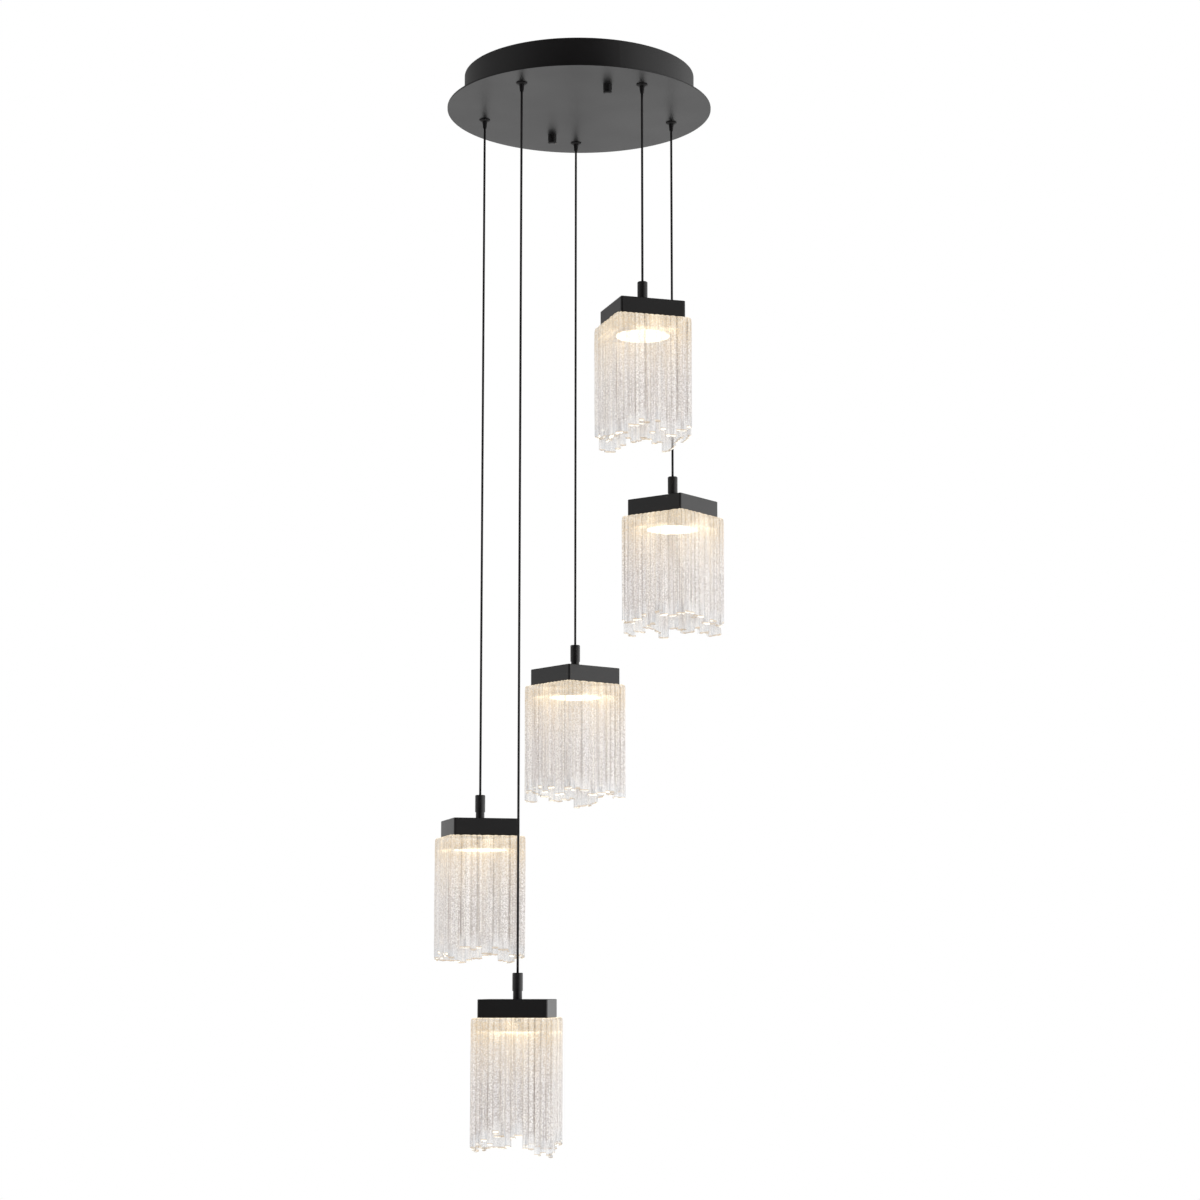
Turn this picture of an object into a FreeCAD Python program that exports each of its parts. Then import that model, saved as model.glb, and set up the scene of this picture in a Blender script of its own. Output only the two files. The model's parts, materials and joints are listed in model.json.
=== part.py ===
# Cluster pendant: a round ceiling canopy with five square bubble-glass pendants on cords of falling length.
#
# Frame: millimetres, +Z up. The origin is the centre of the canopy on the ceiling, so the whole light hangs
# below z = 0. +X runs along the mounting bracket, through the two cap nuts.

import FreeCAD, Part
import math
import os
import re

import Sketcher

DRIVING_SIZES = {
    # canopy
    "canopy_height": 45.0,
    "drum_wall": 1.2,
    "drum_flange": 9.0,
    "drum_foot_gap": 3.05,
    "plate_rim": 22.5,
    "plate_thickness": 2.0,
    # mounting bracket, its studs and the cap nuts
    "bracket_end": 13.0,
    "bracket_width": 26.0,
    "bracket_thickness": 2.0,
    "bracket_flange": 5.0,
    "box_screw_spacing": 88.0,
    "box_slot_length": 26.0,
    "box_slot_width": 4.8,
    "bracket_centre_hole": 11.0,
    "stud_spacing": 216.0,
    "stud_diameter": 5.0,
    "stud_hole_clearance": 0.5,
    "stud_top_gap": 0.5,
    "stud_nut_flats": 8.0,
    "stud_nut_height": 4.0,
    "cap_nut_diameter": 11.5,
    "cap_nut_height": 12.0,
    "cap_nut_bore_depth": 9.0,
    "cap_nut_groove_depth": 0.8,
    "cap_nut_groove_width": 1.2,
    "cap_nut_groove_up": 3.4,
    "cap_nut_edge": 1.3,
    "stud_reach": 8.0,
    # running and seating clearances
    "running_clearance": 0.06,
    "seat_clearance": 0.3,
    # cords and their glands
    "cord_ring_diameter": 264.0,
    "cord_count": 5,
    "first_cord_angle": 18.0,
    "cord_diameter": 3.0,
    "cord_bore_clearance": 0.1,
    "cord_end_gap": 0.6,
    "gland_flange_diameter": 14.5,
    "gland_flange_height": 2.6,
    "gland_rim_height": 0.9,
    "gland_shoulder_diameter": 9.0,
    "gland_nose_diameter": 6.6,
    "gland_tip_diameter": 4.8,
    "gland_nose_length": 9.0,
    "gland_shank_diameter": 8.0,
    "gland_mouth_depth": 1.0,
    "gland_mouth_slope": 0.3,
    "gland_nut_flats": 12.0,
    "gland_nut_height": 4.0,
    "gland_shank_spare": 1.5,
    # hung length of each cord, from its gland to its grip
    "cord_length_1": 252.0,
    "cord_length_2": 476.0,
    "cord_length_3": 689.0,
    "cord_length_4": 897.0,
    "cord_length_5": 1125.0,
    # how far each pendant is turned about its cord, in degrees
    "pendant_turn_1": -2.5,
    "pendant_turn_2": 32.5,
    "pendant_turn_3": 17.5,
    "pendant_turn_4": -5.5,
    "pendant_turn_5": -27.0,
    # cord grip, neck and stem
    "grip_diameter": 13.0,
    "grip_length": 22.0,
    "grip_chamfer": 0.8,
    "neck_diameter": 11.2,
    "neck_length": 10.0,
    "spigot_diameter": 7.0,
    "spigot_length": 8.0,
    "spigot_groove_depth": 0.6,
    "spigot_groove_width": 2.0,
    "stem_diameter": 8.0,
    # square cap
    "cap_side": 86.0,
    "cap_height": 22.0,
    "cap_wall": 1.5,
    "cap_corner_radius": 2.5,
    "cap_edge_chamfer": 0.6,
    # glass shade
    "glass_side": 103.0,
    "glass_length": 165.0,
    "glass_corner_radius": 9.0,
    "glass_outer_wall": 7.0,
    "glass_deck": 6.0,
    "rod_bulge": 0.8,
    "inner_rod_depth": 4.5,
    "rod_count": 12,
    # nut under the glass
    "clamp_nut_flats": 15.0,
    "clamp_nut_height": 3.2,
    # LED disc
    "led_gap": 0.8,
    "led_diameter": 72.0,
    "led_height": 5.8,
    "led_rim": 1.6,
    "led_top_wall": 1.5,
    "led_boss_diameter": 18.0,
    "led_boss_height": 1.2,
    "board_thickness": 1.6,
    "board_lead_diameter": 2.6,
    "diffuser_thickness": 1.8,
    "diffuser_dome": 0.6,
    "diffuser_edge": 3.4,
    # driver, terminal block, welded studs, inner leads
    "driver_length": 144.0,
    "driver_width": 42.0,
    "driver_height": 24.0,
    "driver_ear": 14.0,
    "driver_ear_thickness": 1.6,
    "driver_edge_radius": 2.0,
    "driver_offset": 58.0,
    "block_width": 20.0,
    "block_height": 16.0,
    "block_foot": 9.0,
    "block_foot_height": 4.0,
    "block_offset": -35.0,
    "pole_pitch": 12.0,
    "pole_screw_diameter": 5.0,
    "pole_well_depth": 5.0,
    "weld_stud_diameter": 4.0,
    "weld_stud_length": 9.0,
    "weld_nut_flats": 7.0,
    "weld_nut_height": 3.2,
    "ground_stud_offset": -62.0,
    "ground_stud_reach": 62.0,
    "earth_ring_thickness": 1.0,
    "earth_ring_rim": 0.6,
    "lead_diameter": 2.2,
    "lead_spread": 44.0,
    "lead_height": 8.0,
}

# The cast shades' ragged feet. The four sides of a shade are read from left to right from outside. Each is a
# row of bars: how many rods a bar is wide, and how far it ends above the longest tip.
FOOT_BARS = {
    "1": [
        [(1, 9.0), (2, 20.0), (1, 28.0), (1, 24.0), (1, 11.0), (1, 26.0), (1, 16.0), (2, 9.0), (2, 16.0)],
        [(1, 13.0), (3, 10.0), (2, 17.0), (2, 14.0), (4, 9.0)],
        [(1, 22.0), (1, 19.0), (2, 25.0), (1, 22.0), (1, 18.0), (1, 23.0), (1, 15.0), (1, 10.0), (2, 4.0),
         (1, 8.0)],
        [(1, 21.0), (2, 18.0), (3, 14.0), (2, 8.0), (2, 10.0), (2, 8.0)],
    ],
    "2": [
        [(3, 30.0), (3, 26.0), (2, 18.0), (2, 24.0), (2, 20.0)],
        [(1, 10.0), (2, 8.0), (2, 14.0), (1, 21.0), (3, 16.0), (3, 23.0)],
        [(1, 12.0), (3, 21.0), (2, 23.0), (3, 14.0), (3, 8.0)],
        [(2, 22.0), (2, 25.0), (1, 29.0), (2, 15.0), (1, 33.0), (2, 27.0), (2, 24.0)],
    ],
    "3": [
        [(2, 21.0), (2, 19.0), (2, 13.0), (2, 17.0), (2, 20.0), (2, 11.0)],
        [(2, 22.0), (2, 21.0), (2, 20.0), (2, 17.0), (2, 11.0), (2, 6.0)],
        [(1, 6.0), (3, 15.0), (3, 13.0), (2, 18.0), (1, 20.0), (2, 10.0)],
        [(2, 22.0), (2, 19.0), (1, 27.0), (2, 20.0), (2, 25.0), (3, 15.0)],
    ],
    "4": [
        [(1, 6.0), (2, 23.0), (1, 20.0), (1, 23.0), (2, 14.0), (1, 23.0), (2, 20.0), (2, 11.0)],
        [(3, 10.0), (2, 14.0), (3, 9.0), (4, 4.0)],
        [(1, 6.0), (1, 13.0), (2, 14.0), (2, 11.0), (1, 9.0), (2, 5.0), (3, 8.0)],
        [(3, 8.0), (2, 16.0), (3, 10.0), (4, 14.0)],
    ],
    "5": [
        [(1, 10.0), (1, 21.0), (1, 15.0), (1, 29.0), (1, 24.0), (1, 12.0), (2, 23.0), (2, 9.0), (2, 3.0)],
        [(3, 4.0), (2, 15.0), (4, 11.0), (3, 13.0)],
        [(3, 5.0), (3, 8.0), (2, 18.0), (2, 5.0), (2, 3.0)],
        [(4, 6.0), (3, 12.0), (2, 5.0), (3, 9.0)],
    ],
}
# The rise of the corner after each side.
CORNER_RISE = {
    "1": [23.0, 9.0, 22.0, 9.0],
    "2": [23.0, 12.0, 23.0, 26.0],
    "3": [11.0, 6.0, 10.0, 22.0],
    "4": [10.0, 4.0, 9.0, 8.0],
    "5": [0.0, 9.0, 3.0, 10.0],
}
# The shorter rods on the inside of each side, as their ends above the longest tip.
INNER_RODS = [
    [33.0, 24.0, 58.0, 47.0, 45.0],
    [24.0, 52.0, 33.0, 21.0, 36.0],
    [48.0, 26.0, 40.0, 70.0, 23.0],
    [30.0, 36.0, 58.0, 48.0, 47.0],
]

PENDANTS = range(1, 6)
# Terminal pole, counted from the middle of the block, that each cord runs to, so that no two cross.
POLE_ORDER = {"1": 2, "2": 0, "3": -2, "4": -1, "5": 1}

# Routes inside the canopy. A cord's tail is laid out in shares of its rise, of its way across and of its fall.
TAIL_BEND_LOW = 0.3
TAIL_BEND_HIGH = 0.85
TAIL_BEND_REACH = 0.5
TAIL_CREST_START = 0.3
TAIL_CREST_END = 0.65
TAIL_CREST_DROP = 0.5
TAIL_FALL_REACH = 0.6
TAIL_FALL_HIGH = 0.8
TAIL_FALL_LOW = 0.4
# A driver lead, in shares of the gap between the driver and the terminal block.
LEAD_STRAIGHT = 0.25
LEAD_MIDDLE = 0.5
LEAD_LANDING = 0.12
LEAD_BOW = 0.08
LEAD_BOW_LOW = 0.1
# The earth lead, in millimetres.
EARTH_STRAIGHT = 8.0
EARTH_TURN = 20.0
EARTH_LIFT = 10.0
EARTH_BOW = 4.0
EARTH_APPROACH = 14.0
EARTH_LANDING = 5.0
EARTH_GRIP = 1.0
LEAD_FACES = 8
ARC_SHARE = 0.45
TOUCH = 1e-3

doc = FreeCAD.newDocument("ClusterPendant")
sheet = doc.addObject("Spreadsheet::Sheet", "Size")
for row, (alias, amount) in enumerate(DRIVING_SIZES.items(), start=1):
    sheet.set(f"A{row}", alias)
    sheet.set(f"B{row}", str(amount))
    sheet.setAlias(f"B{row}", alias)
doc.recompute()

ALIAS = re.compile(r"\b(" + "|".join(sorted(DRIVING_SIZES, key=len, reverse=True)) + r")\b")
sub_parts = []


def bound(text):
    """An expression in which every driving size is read from the sheet."""
    return ALIAS.sub(r"Size.\1", str(text))


def value(text):
    """The number that an expression of driving sizes comes to."""
    result = sheet.evalExpression(bound(text))
    return float(getattr(result, "Value", result))


def sub_part(item, label):
    """Names an object as one physical piece and lists it for export."""
    item.Label = label
    sub_parts.append(item)
    return item


def new_body(label):
    return sub_part(doc.addObject("PartDesign::Body", label), label)


def origin_plane(body, role):
    return next(item for item in body.Origin.OriginFeatures if item.Role == role)


def new_sketch(body, name, role, offset="0"):
    """A sketch on one of the body's own origin planes, lifted off it by an expression."""
    sketch = body.newObject("Sketcher::SketchObject", name)
    sketch.AttachmentSupport = [(origin_plane(body, role), "")]
    sketch.MapMode = "FlatFace"
    sketch.setExpression("AttachmentOffset.Base.z", bound(offset))
    return sketch


def pin_point(sketch, geometry, point, position):
    """Dimensions one sketch point from the origin, each way by its own expression."""
    for kind, text in zip(("DistanceX", "DistanceY"), position):
        number = sketch.addConstraint(Sketcher.Constraint(kind, -1, 1, geometry, point, value(text)))
        sketch.setExpression(f"Constraints[{number}]", bound(text))


def draw_outline(sketch, points):
    """A closed outline of straight lines through points given as expressions."""
    places = [FreeCAD.Vector(value(across), value(up), 0) for across, up in points]
    first = sketch.GeometryCount
    for start, end in zip(places, places[1:] + places[:1]):
        sketch.addGeometry(Part.LineSegment(start, end))
    for index, point in enumerate(points):
        following = (index + 1) % len(points)
        sketch.addConstraint(Sketcher.Constraint("Coincident", first + index, 2, first + following, 1))
        pin_point(sketch, first + index, 1, point)


def draw_circle(sketch, centre, diameter):
    place = FreeCAD.Vector(value(centre[0]), value(centre[1]), 0)
    index = sketch.addGeometry(Part.Circle(place, FreeCAD.Vector(0, 0, 1), value(diameter) / 2))
    pin_point(sketch, index, 3, centre)
    number = sketch.addConstraint(Sketcher.Constraint("Diameter", index, value(diameter)))
    sketch.setExpression(f"Constraints[{number}]", bound(diameter))


def draw_rectangle(sketch, width, depth, centre=("0", "0")):
    across, up = centre
    draw_outline(sketch, [
        (f"{across} - ({width}) / 2", f"{up} - ({depth}) / 2"),
        (f"{across} + ({width}) / 2", f"{up} - ({depth}) / 2"),
        (f"{across} + ({width}) / 2", f"{up} + ({depth}) / 2"),
        (f"{across} - ({width}) / 2", f"{up} + ({depth}) / 2"),
    ])


def draw_slot(sketch, centre, length, width):
    """A slot along the sketch's X, two straight sides and two half circles."""
    middle = FreeCAD.Vector(value(centre[0]), value(centre[1]), 0)
    half_run = (value(length) - value(width)) / 2
    radius = value(width) / 2
    ends = []
    for side in (1, -1):
        hub = middle + FreeCAD.Vector(side * half_run, 0, 0)
        arc = Part.Arc(hub + FreeCAD.Vector(0, -side * radius, 0), hub + FreeCAD.Vector(side * radius, 0, 0),
                       hub + FreeCAD.Vector(0, side * radius, 0))
        ends.append(sketch.addGeometry(arc))
        pin_point(sketch, ends[-1], 3, (f"{centre[0]} + {side} * (({length}) - ({width})) / 2", centre[1]))
    right, left = ends
    top = sketch.addGeometry(Part.LineSegment(middle + FreeCAD.Vector(half_run, radius, 0),
                                              middle + FreeCAD.Vector(-half_run, radius, 0)))
    bottom = sketch.addGeometry(Part.LineSegment(middle + FreeCAD.Vector(-half_run, -radius, 0),
                                                 middle + FreeCAD.Vector(half_run, -radius, 0)))
    for first, first_end, second, second_end in ((right, 2, top, 1), (top, 2, left, 1),
                                                 (left, 2, bottom, 1), (bottom, 2, right, 1)):
        sketch.addConstraint(Sketcher.Constraint("Tangent", first, first_end, second, second_end))
    number = sketch.addConstraint(Sketcher.Constraint("Radius", right, radius))
    sketch.setExpression(f"Constraints[{number}]", bound(f"({width}) / 2"))


def draw_hexagon(sketch, flats, centre=("0", "0")):
    corner = f"({flats}) / 2 / cos(30)"
    across, up = centre
    draw_outline(sketch, [(f"{across} + {corner} * cos({60 * step})", f"{up} + {corner} * sin({60 * step})")
                          for step in range(6)])


def pad(body, sketch, length):
    feature = body.newObject("PartDesign::Pad", sketch.Name + "_pad")
    feature.Profile = sketch
    feature.setExpression("Length", bound(length))
    return feature


def pocket_up(body, sketch, depth):
    """A pocket that cuts from the sketch towards +Z."""
    feature = body.newObject("PartDesign::Pocket", sketch.Name + "_pocket")
    feature.Profile = sketch
    feature.Reversed = True
    feature.setExpression("Length", bound(depth))
    return feature


def revolve(body, points, name="section"):
    """Turns a half section, given as (radius, height) expressions, about the body's own Z."""
    sketch = new_sketch(body, name, "XZ_Plane")
    draw_outline(sketch, points)
    feature = body.newObject("PartDesign::Revolution", name + "_turned")
    feature.Profile = sketch
    feature.ReferenceAxis = (sketch, ["V_Axis"])
    return feature


def repeat_round(body, feature, axis):
    """Repeats a feature at every cord."""
    pattern = body.newObject("PartDesign::PolarPattern", feature.Name + "_ring")
    pattern.Originals = [feature]
    pattern.Axis = axis
    pattern.Angle = 360
    pattern.setExpression("Occurrences", bound("cord_count"))
    body.Tip = pattern
    return pattern


def soften(body, base, edges, radius):
    fillet = body.newObject("PartDesign::Fillet", base.Name + "_soft")
    fillet.Base = (base, edges)
    fillet.setExpression("Radius", bound(radius))
    return fillet


def edges_where(shape, test):
    return [f"Edge{number}" for number, edge in enumerate(shape.Edges, start=1) if test(edge)]


def is_upright(edge):
    box = edge.BoundBox
    return box.ZLength > TOUCH and box.XLength < TOUCH and box.YLength < TOUCH


def place(item, across="0", along="0", up="0", turn="0"):
    """Places a piece by expressions: three distances and a turn about Z in degrees."""
    item.Placement = FreeCAD.Placement(FreeCAD.Vector(), FreeCAD.Rotation(FreeCAD.Vector(0, 0, 1), 1))
    item.setExpression("Placement.Base.x", bound(across))
    item.setExpression("Placement.Base.y", bound(along))
    item.setExpression("Placement.Base.z", bound(up))
    item.setExpression("Placement.Rotation.Angle", bound(turn))
    return item


# Places that more than one piece is built to.
FLANGE_INSIDE = "(cord_ring_diameter / 2 + gland_flange_diameter / 2 + drum_foot_gap)"
DRUM_OUTSIDE = f"({FLANGE_INSIDE} + drum_flange + drum_wall)"
BRACKET_LENGTH = "(stud_spacing + 2 * bracket_end)"
LEAD_LINE = "(block_offset + block_width / 4)"
SCREW_LINE = "(block_offset - block_width / 4)"
PLATE_UNDERSIDE = "-canopy_height"
PLATE_TOP = "(-canopy_height + plate_thickness)"
LED_TOP = "(-cap_height - glass_deck - clamp_nut_height - led_gap - led_boss_height)"
CORD_PIVOT = "(-canopy_height - gland_flange_height - gland_nose_length + gland_mouth_depth)"


def cord_angle(number):
    return f"(first_cord_angle + 360 / cord_count * {number - 1})"


def cord_place(number):
    """The plan position of a cord, as two expressions."""
    angle = cord_angle(number)
    return f"cord_ring_diameter / 2 * cos({angle})", f"cord_ring_diameter / 2 * sin({angle})"


def cap_top(number):
    """The height of a pendant's cap, which is each pendant's own reference height."""
    return f"({CORD_PIVOT} - cord_length_{number} - grip_length - neck_length)"


# ---------------------------------------------------------------- canopy


def canopy_drum():
    """Rolled side wall with a flange turned in at its foot, spot-welded to the plate."""
    body = new_body("canopy_drum")
    revolve(body, [
        (DRUM_OUTSIDE, "0"),
        (DRUM_OUTSIDE, PLATE_TOP),
        (FLANGE_INSIDE, PLATE_TOP),
        (FLANGE_INSIDE, f"{PLATE_TOP} + drum_wall"),
        (f"{DRUM_OUTSIDE} - drum_wall", f"{PLATE_TOP} + drum_wall"),
        (f"{DRUM_OUTSIDE} - drum_wall", "0"),
    ])


def weld_stud_places():
    """Plan positions of the studs welded to the plate: driver ears, terminal block feet, earth."""
    driver_reach = "(driver_length + driver_ear) / 2"
    block_reach = "(cord_count * pole_pitch + block_foot) / 2"
    return [
        (f"-{driver_reach}", "driver_offset"),
        (driver_reach, "driver_offset"),
        (f"-{block_reach}", "block_offset"),
        (block_reach, "block_offset"),
        ("ground_stud_reach", "ground_stud_offset"),
    ]


def canopy_plate():
    """Round face plate with holes for glands and studs, and small studs welded to its hidden side."""
    body = new_body("canopy_plate")
    disc = new_sketch(body, "disc", "XY_Plane", PLATE_UNDERSIDE)
    draw_circle(disc, ("0", "0"), f"2 * ({DRUM_OUTSIDE} + plate_rim)")
    pad(body, disc, "plate_thickness")

    stud_holes = new_sketch(body, "stud_holes", "XY_Plane", PLATE_UNDERSIDE)
    for side in (-1, 1):
        draw_circle(stud_holes, (f"{side} * stud_spacing / 2", "0"), "stud_diameter + 2 * stud_hole_clearance")
    pocket_up(body, stud_holes, "plate_thickness")

    gland_hole = new_sketch(body, "gland_hole", "XY_Plane", PLATE_UNDERSIDE)
    draw_circle(gland_hole, cord_place(1), "gland_shank_diameter")
    gland_pocket = pocket_up(body, gland_hole, "plate_thickness")
    repeat_round(body, gland_pocket, (gland_hole, ["N_Axis"]))

    welded = new_sketch(body, "welded_studs", "XY_Plane", PLATE_TOP)
    for centre in weld_stud_places():
        draw_circle(welded, centre, "weld_stud_diameter")
    pad(body, welded, "weld_stud_length")


def mounting_bracket():
    """Pressed crossbar: a flat bar against the ceiling with its long edges turned down."""
    body = new_body("mounting_bracket")
    channel = new_sketch(body, "channel", "YZ_Plane", f"-{BRACKET_LENGTH} / 2")
    half = "bracket_width / 2"
    draw_outline(channel, [
        (f"-{half}", "0"),
        (half, "0"),
        (half, "-bracket_thickness - bracket_flange"),
        (f"{half} - bracket_thickness", "-bracket_thickness - bracket_flange"),
        (f"{half} - bracket_thickness", "-bracket_thickness"),
        (f"-{half} + bracket_thickness", "-bracket_thickness"),
        (f"-{half} + bracket_thickness", "-bracket_thickness - bracket_flange"),
        (f"-{half}", "-bracket_thickness - bracket_flange"),
    ])
    pad(body, channel, BRACKET_LENGTH)
    holes = new_sketch(body, "holes", "XY_Plane", "-bracket_thickness")
    draw_circle(holes, ("0", "0"), "bracket_centre_hole")
    for side in (-1, 1):
        draw_circle(holes, (f"{side} * stud_spacing / 2", "0"), "stud_diameter")
        draw_slot(holes, (f"{side} * box_screw_spacing / 2", "0"), "box_slot_length", "box_slot_width")
    pocket_up(body, holes, "bracket_thickness")


def bracket_studs():
    """Two threaded rods from the crossbar down through the plate."""
    body = new_body("bracket_studs")
    ends = new_sketch(body, "ends", "XY_Plane", f"{PLATE_UNDERSIDE} - stud_reach")
    for side in (-1, 1):
        draw_circle(ends, (f"{side} * stud_spacing / 2", "0"), "stud_diameter")
    pad(body, ends, "canopy_height + stud_reach - stud_top_gap")


def add_hex_nuts(body, name, places, flats, bore, height, under):
    """Hexagon nuts whose lower faces lie at one height."""
    hexagons = new_sketch(body, name, "XY_Plane", under)
    for centre in places:
        draw_hexagon(hexagons, flats, centre)
        draw_circle(hexagons, centre, bore)
    return pad(body, hexagons, height)


def stud_nuts():
    """Lock nuts on the two rods, under the crossbar."""
    places = [(f"{side} * stud_spacing / 2", "0") for side in (-1, 1)]
    add_hex_nuts(new_body("stud_nuts"), "hexagons", places, "stud_nut_flats", "stud_diameter", "stud_nut_height",
                 "-bracket_thickness - stud_nut_height")


def canopy_nuts():
    """Small nuts on the welded studs: on the driver's ears, the terminal block's feet and the earth ring."""
    body = new_body("canopy_nuts")
    places = weld_stud_places()
    seats = {"driver": (places[0:2], "driver_ear_thickness"),
             "block": (places[2:4], "block_foot_height"),
             "earth": (places[4:], "earth_ring_thickness")}
    for name, (centres, seat) in seats.items():
        add_hex_nuts(body, f"{name}_nuts", centres, "weld_nut_flats", "weld_stud_diameter", "weld_nut_height",
                     f"{PLATE_TOP} + {seat}")


def cap_nut(label, side):
    """Round cap nut: blind bore above, a groove round it and a bevelled lower end."""
    body = new_body(label)
    radius = "cap_nut_diameter / 2"
    bore = "stud_diameter / 2 + running_clearance"
    groove_low = "(-cap_nut_height + cap_nut_groove_up)"
    revolve(body, [
        (bore, "0"),
        (radius, "0"),
        (radius, f"{groove_low} + cap_nut_groove_width"),
        (f"{radius} - cap_nut_groove_depth", f"{groove_low} + cap_nut_groove_width"),
        (f"{radius} - cap_nut_groove_depth", groove_low),
        (radius, groove_low),
        (radius, "-cap_nut_height + cap_nut_edge"),
        (f"{radius} - cap_nut_edge", "-cap_nut_height"),
        ("0", "-cap_nut_height"),
        ("0", "-cap_nut_bore_depth"),
        (bore, "-cap_nut_bore_depth"),
    ])
    place(body, across=f"{side} * stud_spacing / 2", up=PLATE_UNDERSIDE)


def led_driver():
    """Constant-current driver: a closed housing between two screw ears."""
    body = new_body("led_driver")
    base = new_sketch(body, "base", "XY_Plane", PLATE_TOP)
    centre = ("0", "driver_offset")
    draw_rectangle(base, "driver_length + 2 * driver_ear", "driver_width", centre)
    for side in (-1, 1):
        draw_circle(base, (f"{side} * (driver_length + driver_ear) / 2", "driver_offset"), "weld_stud_diameter")
    pad(body, base, "driver_ear_thickness")
    housing = new_sketch(body, "housing", "XY_Plane", f"{PLATE_TOP} + driver_ear_thickness")
    draw_rectangle(housing, "driver_length", "driver_width", centre)
    housing_pad = pad(body, housing, "driver_height - driver_ear_thickness")
    doc.recompute()
    top = value(f"{PLATE_TOP} + driver_height")
    upper = edges_where(housing_pad.Shape, lambda edge: edge.BoundBox.ZMin > top - TOUCH)
    soften(body, housing_pad, upper, "driver_edge_radius")


def terminal_block():
    """Row of terminal poles with a foot at each end; each pole has a lead hole and a screw well on top."""
    body = new_body("terminal_block")
    foot = new_sketch(body, "foot", "XY_Plane", PLATE_TOP)
    centre = ("0", "block_offset")
    draw_rectangle(foot, "cord_count * pole_pitch + 2 * block_foot", "block_width", centre)
    for side in (-1, 1):
        draw_circle(foot, (f"{side} * (cord_count * pole_pitch + block_foot) / 2", "block_offset"),
                    "weld_stud_diameter")
    pad(body, foot, "block_foot_height")
    poles = new_sketch(body, "poles", "XY_Plane", f"{PLATE_TOP} + block_foot_height")
    draw_rectangle(poles, "cord_count * pole_pitch", "block_width", centre)
    pad(body, poles, "block_height - block_foot_height")
    wells = new_sketch(body, "screw_wells", "XY_Plane", f"{PLATE_TOP} + block_height - pole_well_depth")
    for pole in sorted(POLE_ORDER.values()):
        draw_circle(wells, (f"{pole} * pole_pitch", SCREW_LINE), "pole_screw_diameter")
    pocket_up(body, wells, "pole_well_depth")


def cord_glands():
    """Cord glands: domed flange and tapered nose under the plate, threaded shank through it."""
    body = new_body("cord_glands")
    ring = "cord_ring_diameter / 2"
    bore = "(cord_diameter / 2 + cord_bore_clearance / 2)"
    mouth = f"({bore} + gland_mouth_depth * gland_mouth_slope + cord_bore_clearance)"
    flange = "gland_flange_diameter / 2"
    flange_foot = f"({PLATE_UNDERSIDE} - gland_flange_height)"
    tip = f"({flange_foot} - gland_nose_length)"
    shank_top = f"({PLATE_TOP} + gland_nut_height + gland_shank_spare)"
    section = new_sketch(body, "gland_section", "XZ_Plane")
    half_section = [
        (bore, shank_top),
        ("gland_shank_diameter / 2", shank_top),
        ("gland_shank_diameter / 2", PLATE_UNDERSIDE),
        (flange, PLATE_UNDERSIDE),
        (flange, f"{PLATE_UNDERSIDE} - gland_rim_height"),
        ("gland_shoulder_diameter / 2", flange_foot),
        ("gland_nose_diameter / 2", flange_foot),
        ("gland_tip_diameter / 2", tip),
        (mouth, tip),
        (bore, f"{tip} + gland_mouth_depth"),
    ]
    draw_outline(section, [(f"{ring} + {out}", up) for out, up in half_section])
    axis = section.addGeometry(Part.LineSegment(FreeCAD.Vector(value(ring), value(shank_top), 0),
                                                FreeCAD.Vector(value(ring), value(tip), 0)), True)
    pin_point(section, axis, 1, (ring, shank_top))
    pin_point(section, axis, 2, (ring, tip))
    gland = body.newObject("PartDesign::Revolution", "gland")
    gland.Profile = section
    gland.ReferenceAxis = (section, ["Axis0"])
    repeat_round(body, gland, (section, ["V_Axis"]))
    place(body, turn="first_cord_angle")


def gland_nuts():
    """Hexagon nuts on the glands' shanks, on the hidden side of the plate."""
    body = new_body("gland_nuts")
    centre = ("cord_ring_diameter / 2", "0")
    hexagon = new_sketch(body, "hexagon", "XY_Plane", PLATE_TOP)
    draw_hexagon(hexagon, "gland_nut_flats", centre)
    draw_circle(hexagon, centre, "gland_shank_diameter")
    repeat_round(body, pad(body, hexagon, "gland_nut_height"), (hexagon, ["N_Axis"]))
    place(body, turn="first_cord_angle")


# ---------------------------------------------------------------- cords and leads


def rounded_path(points):
    """Straight runs joined by tangent arcs; each arc is as large as the shorter of its two runs allows."""
    edges = []
    radii = []
    start = points[0]
    for before, corner, after in zip(points, points[1:], points[2:]):
        back = before - corner
        ahead = after - corner
        half_turn = (math.pi - back.getAngle(ahead)) / 2
        setback = ARC_SHARE * min(back.Length, ahead.Length)
        radius = setback / math.tan(half_turn)
        radii.append(radius)
        inward = (back.normalize() + ahead.normalize()).normalize()
        middle = corner + inward * (radius / math.cos(half_turn) - radius)
        arc_start = corner + back * setback
        arc_end = corner + ahead * setback
        edges.append(Part.LineSegment(start, arc_start).toShape())
        edges.append(Part.Arc(arc_start, middle, arc_end).toShape())
        start = arc_end
    edges.append(Part.LineSegment(start, points[-1]).toShape())
    return Part.Wire(edges), radii


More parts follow.
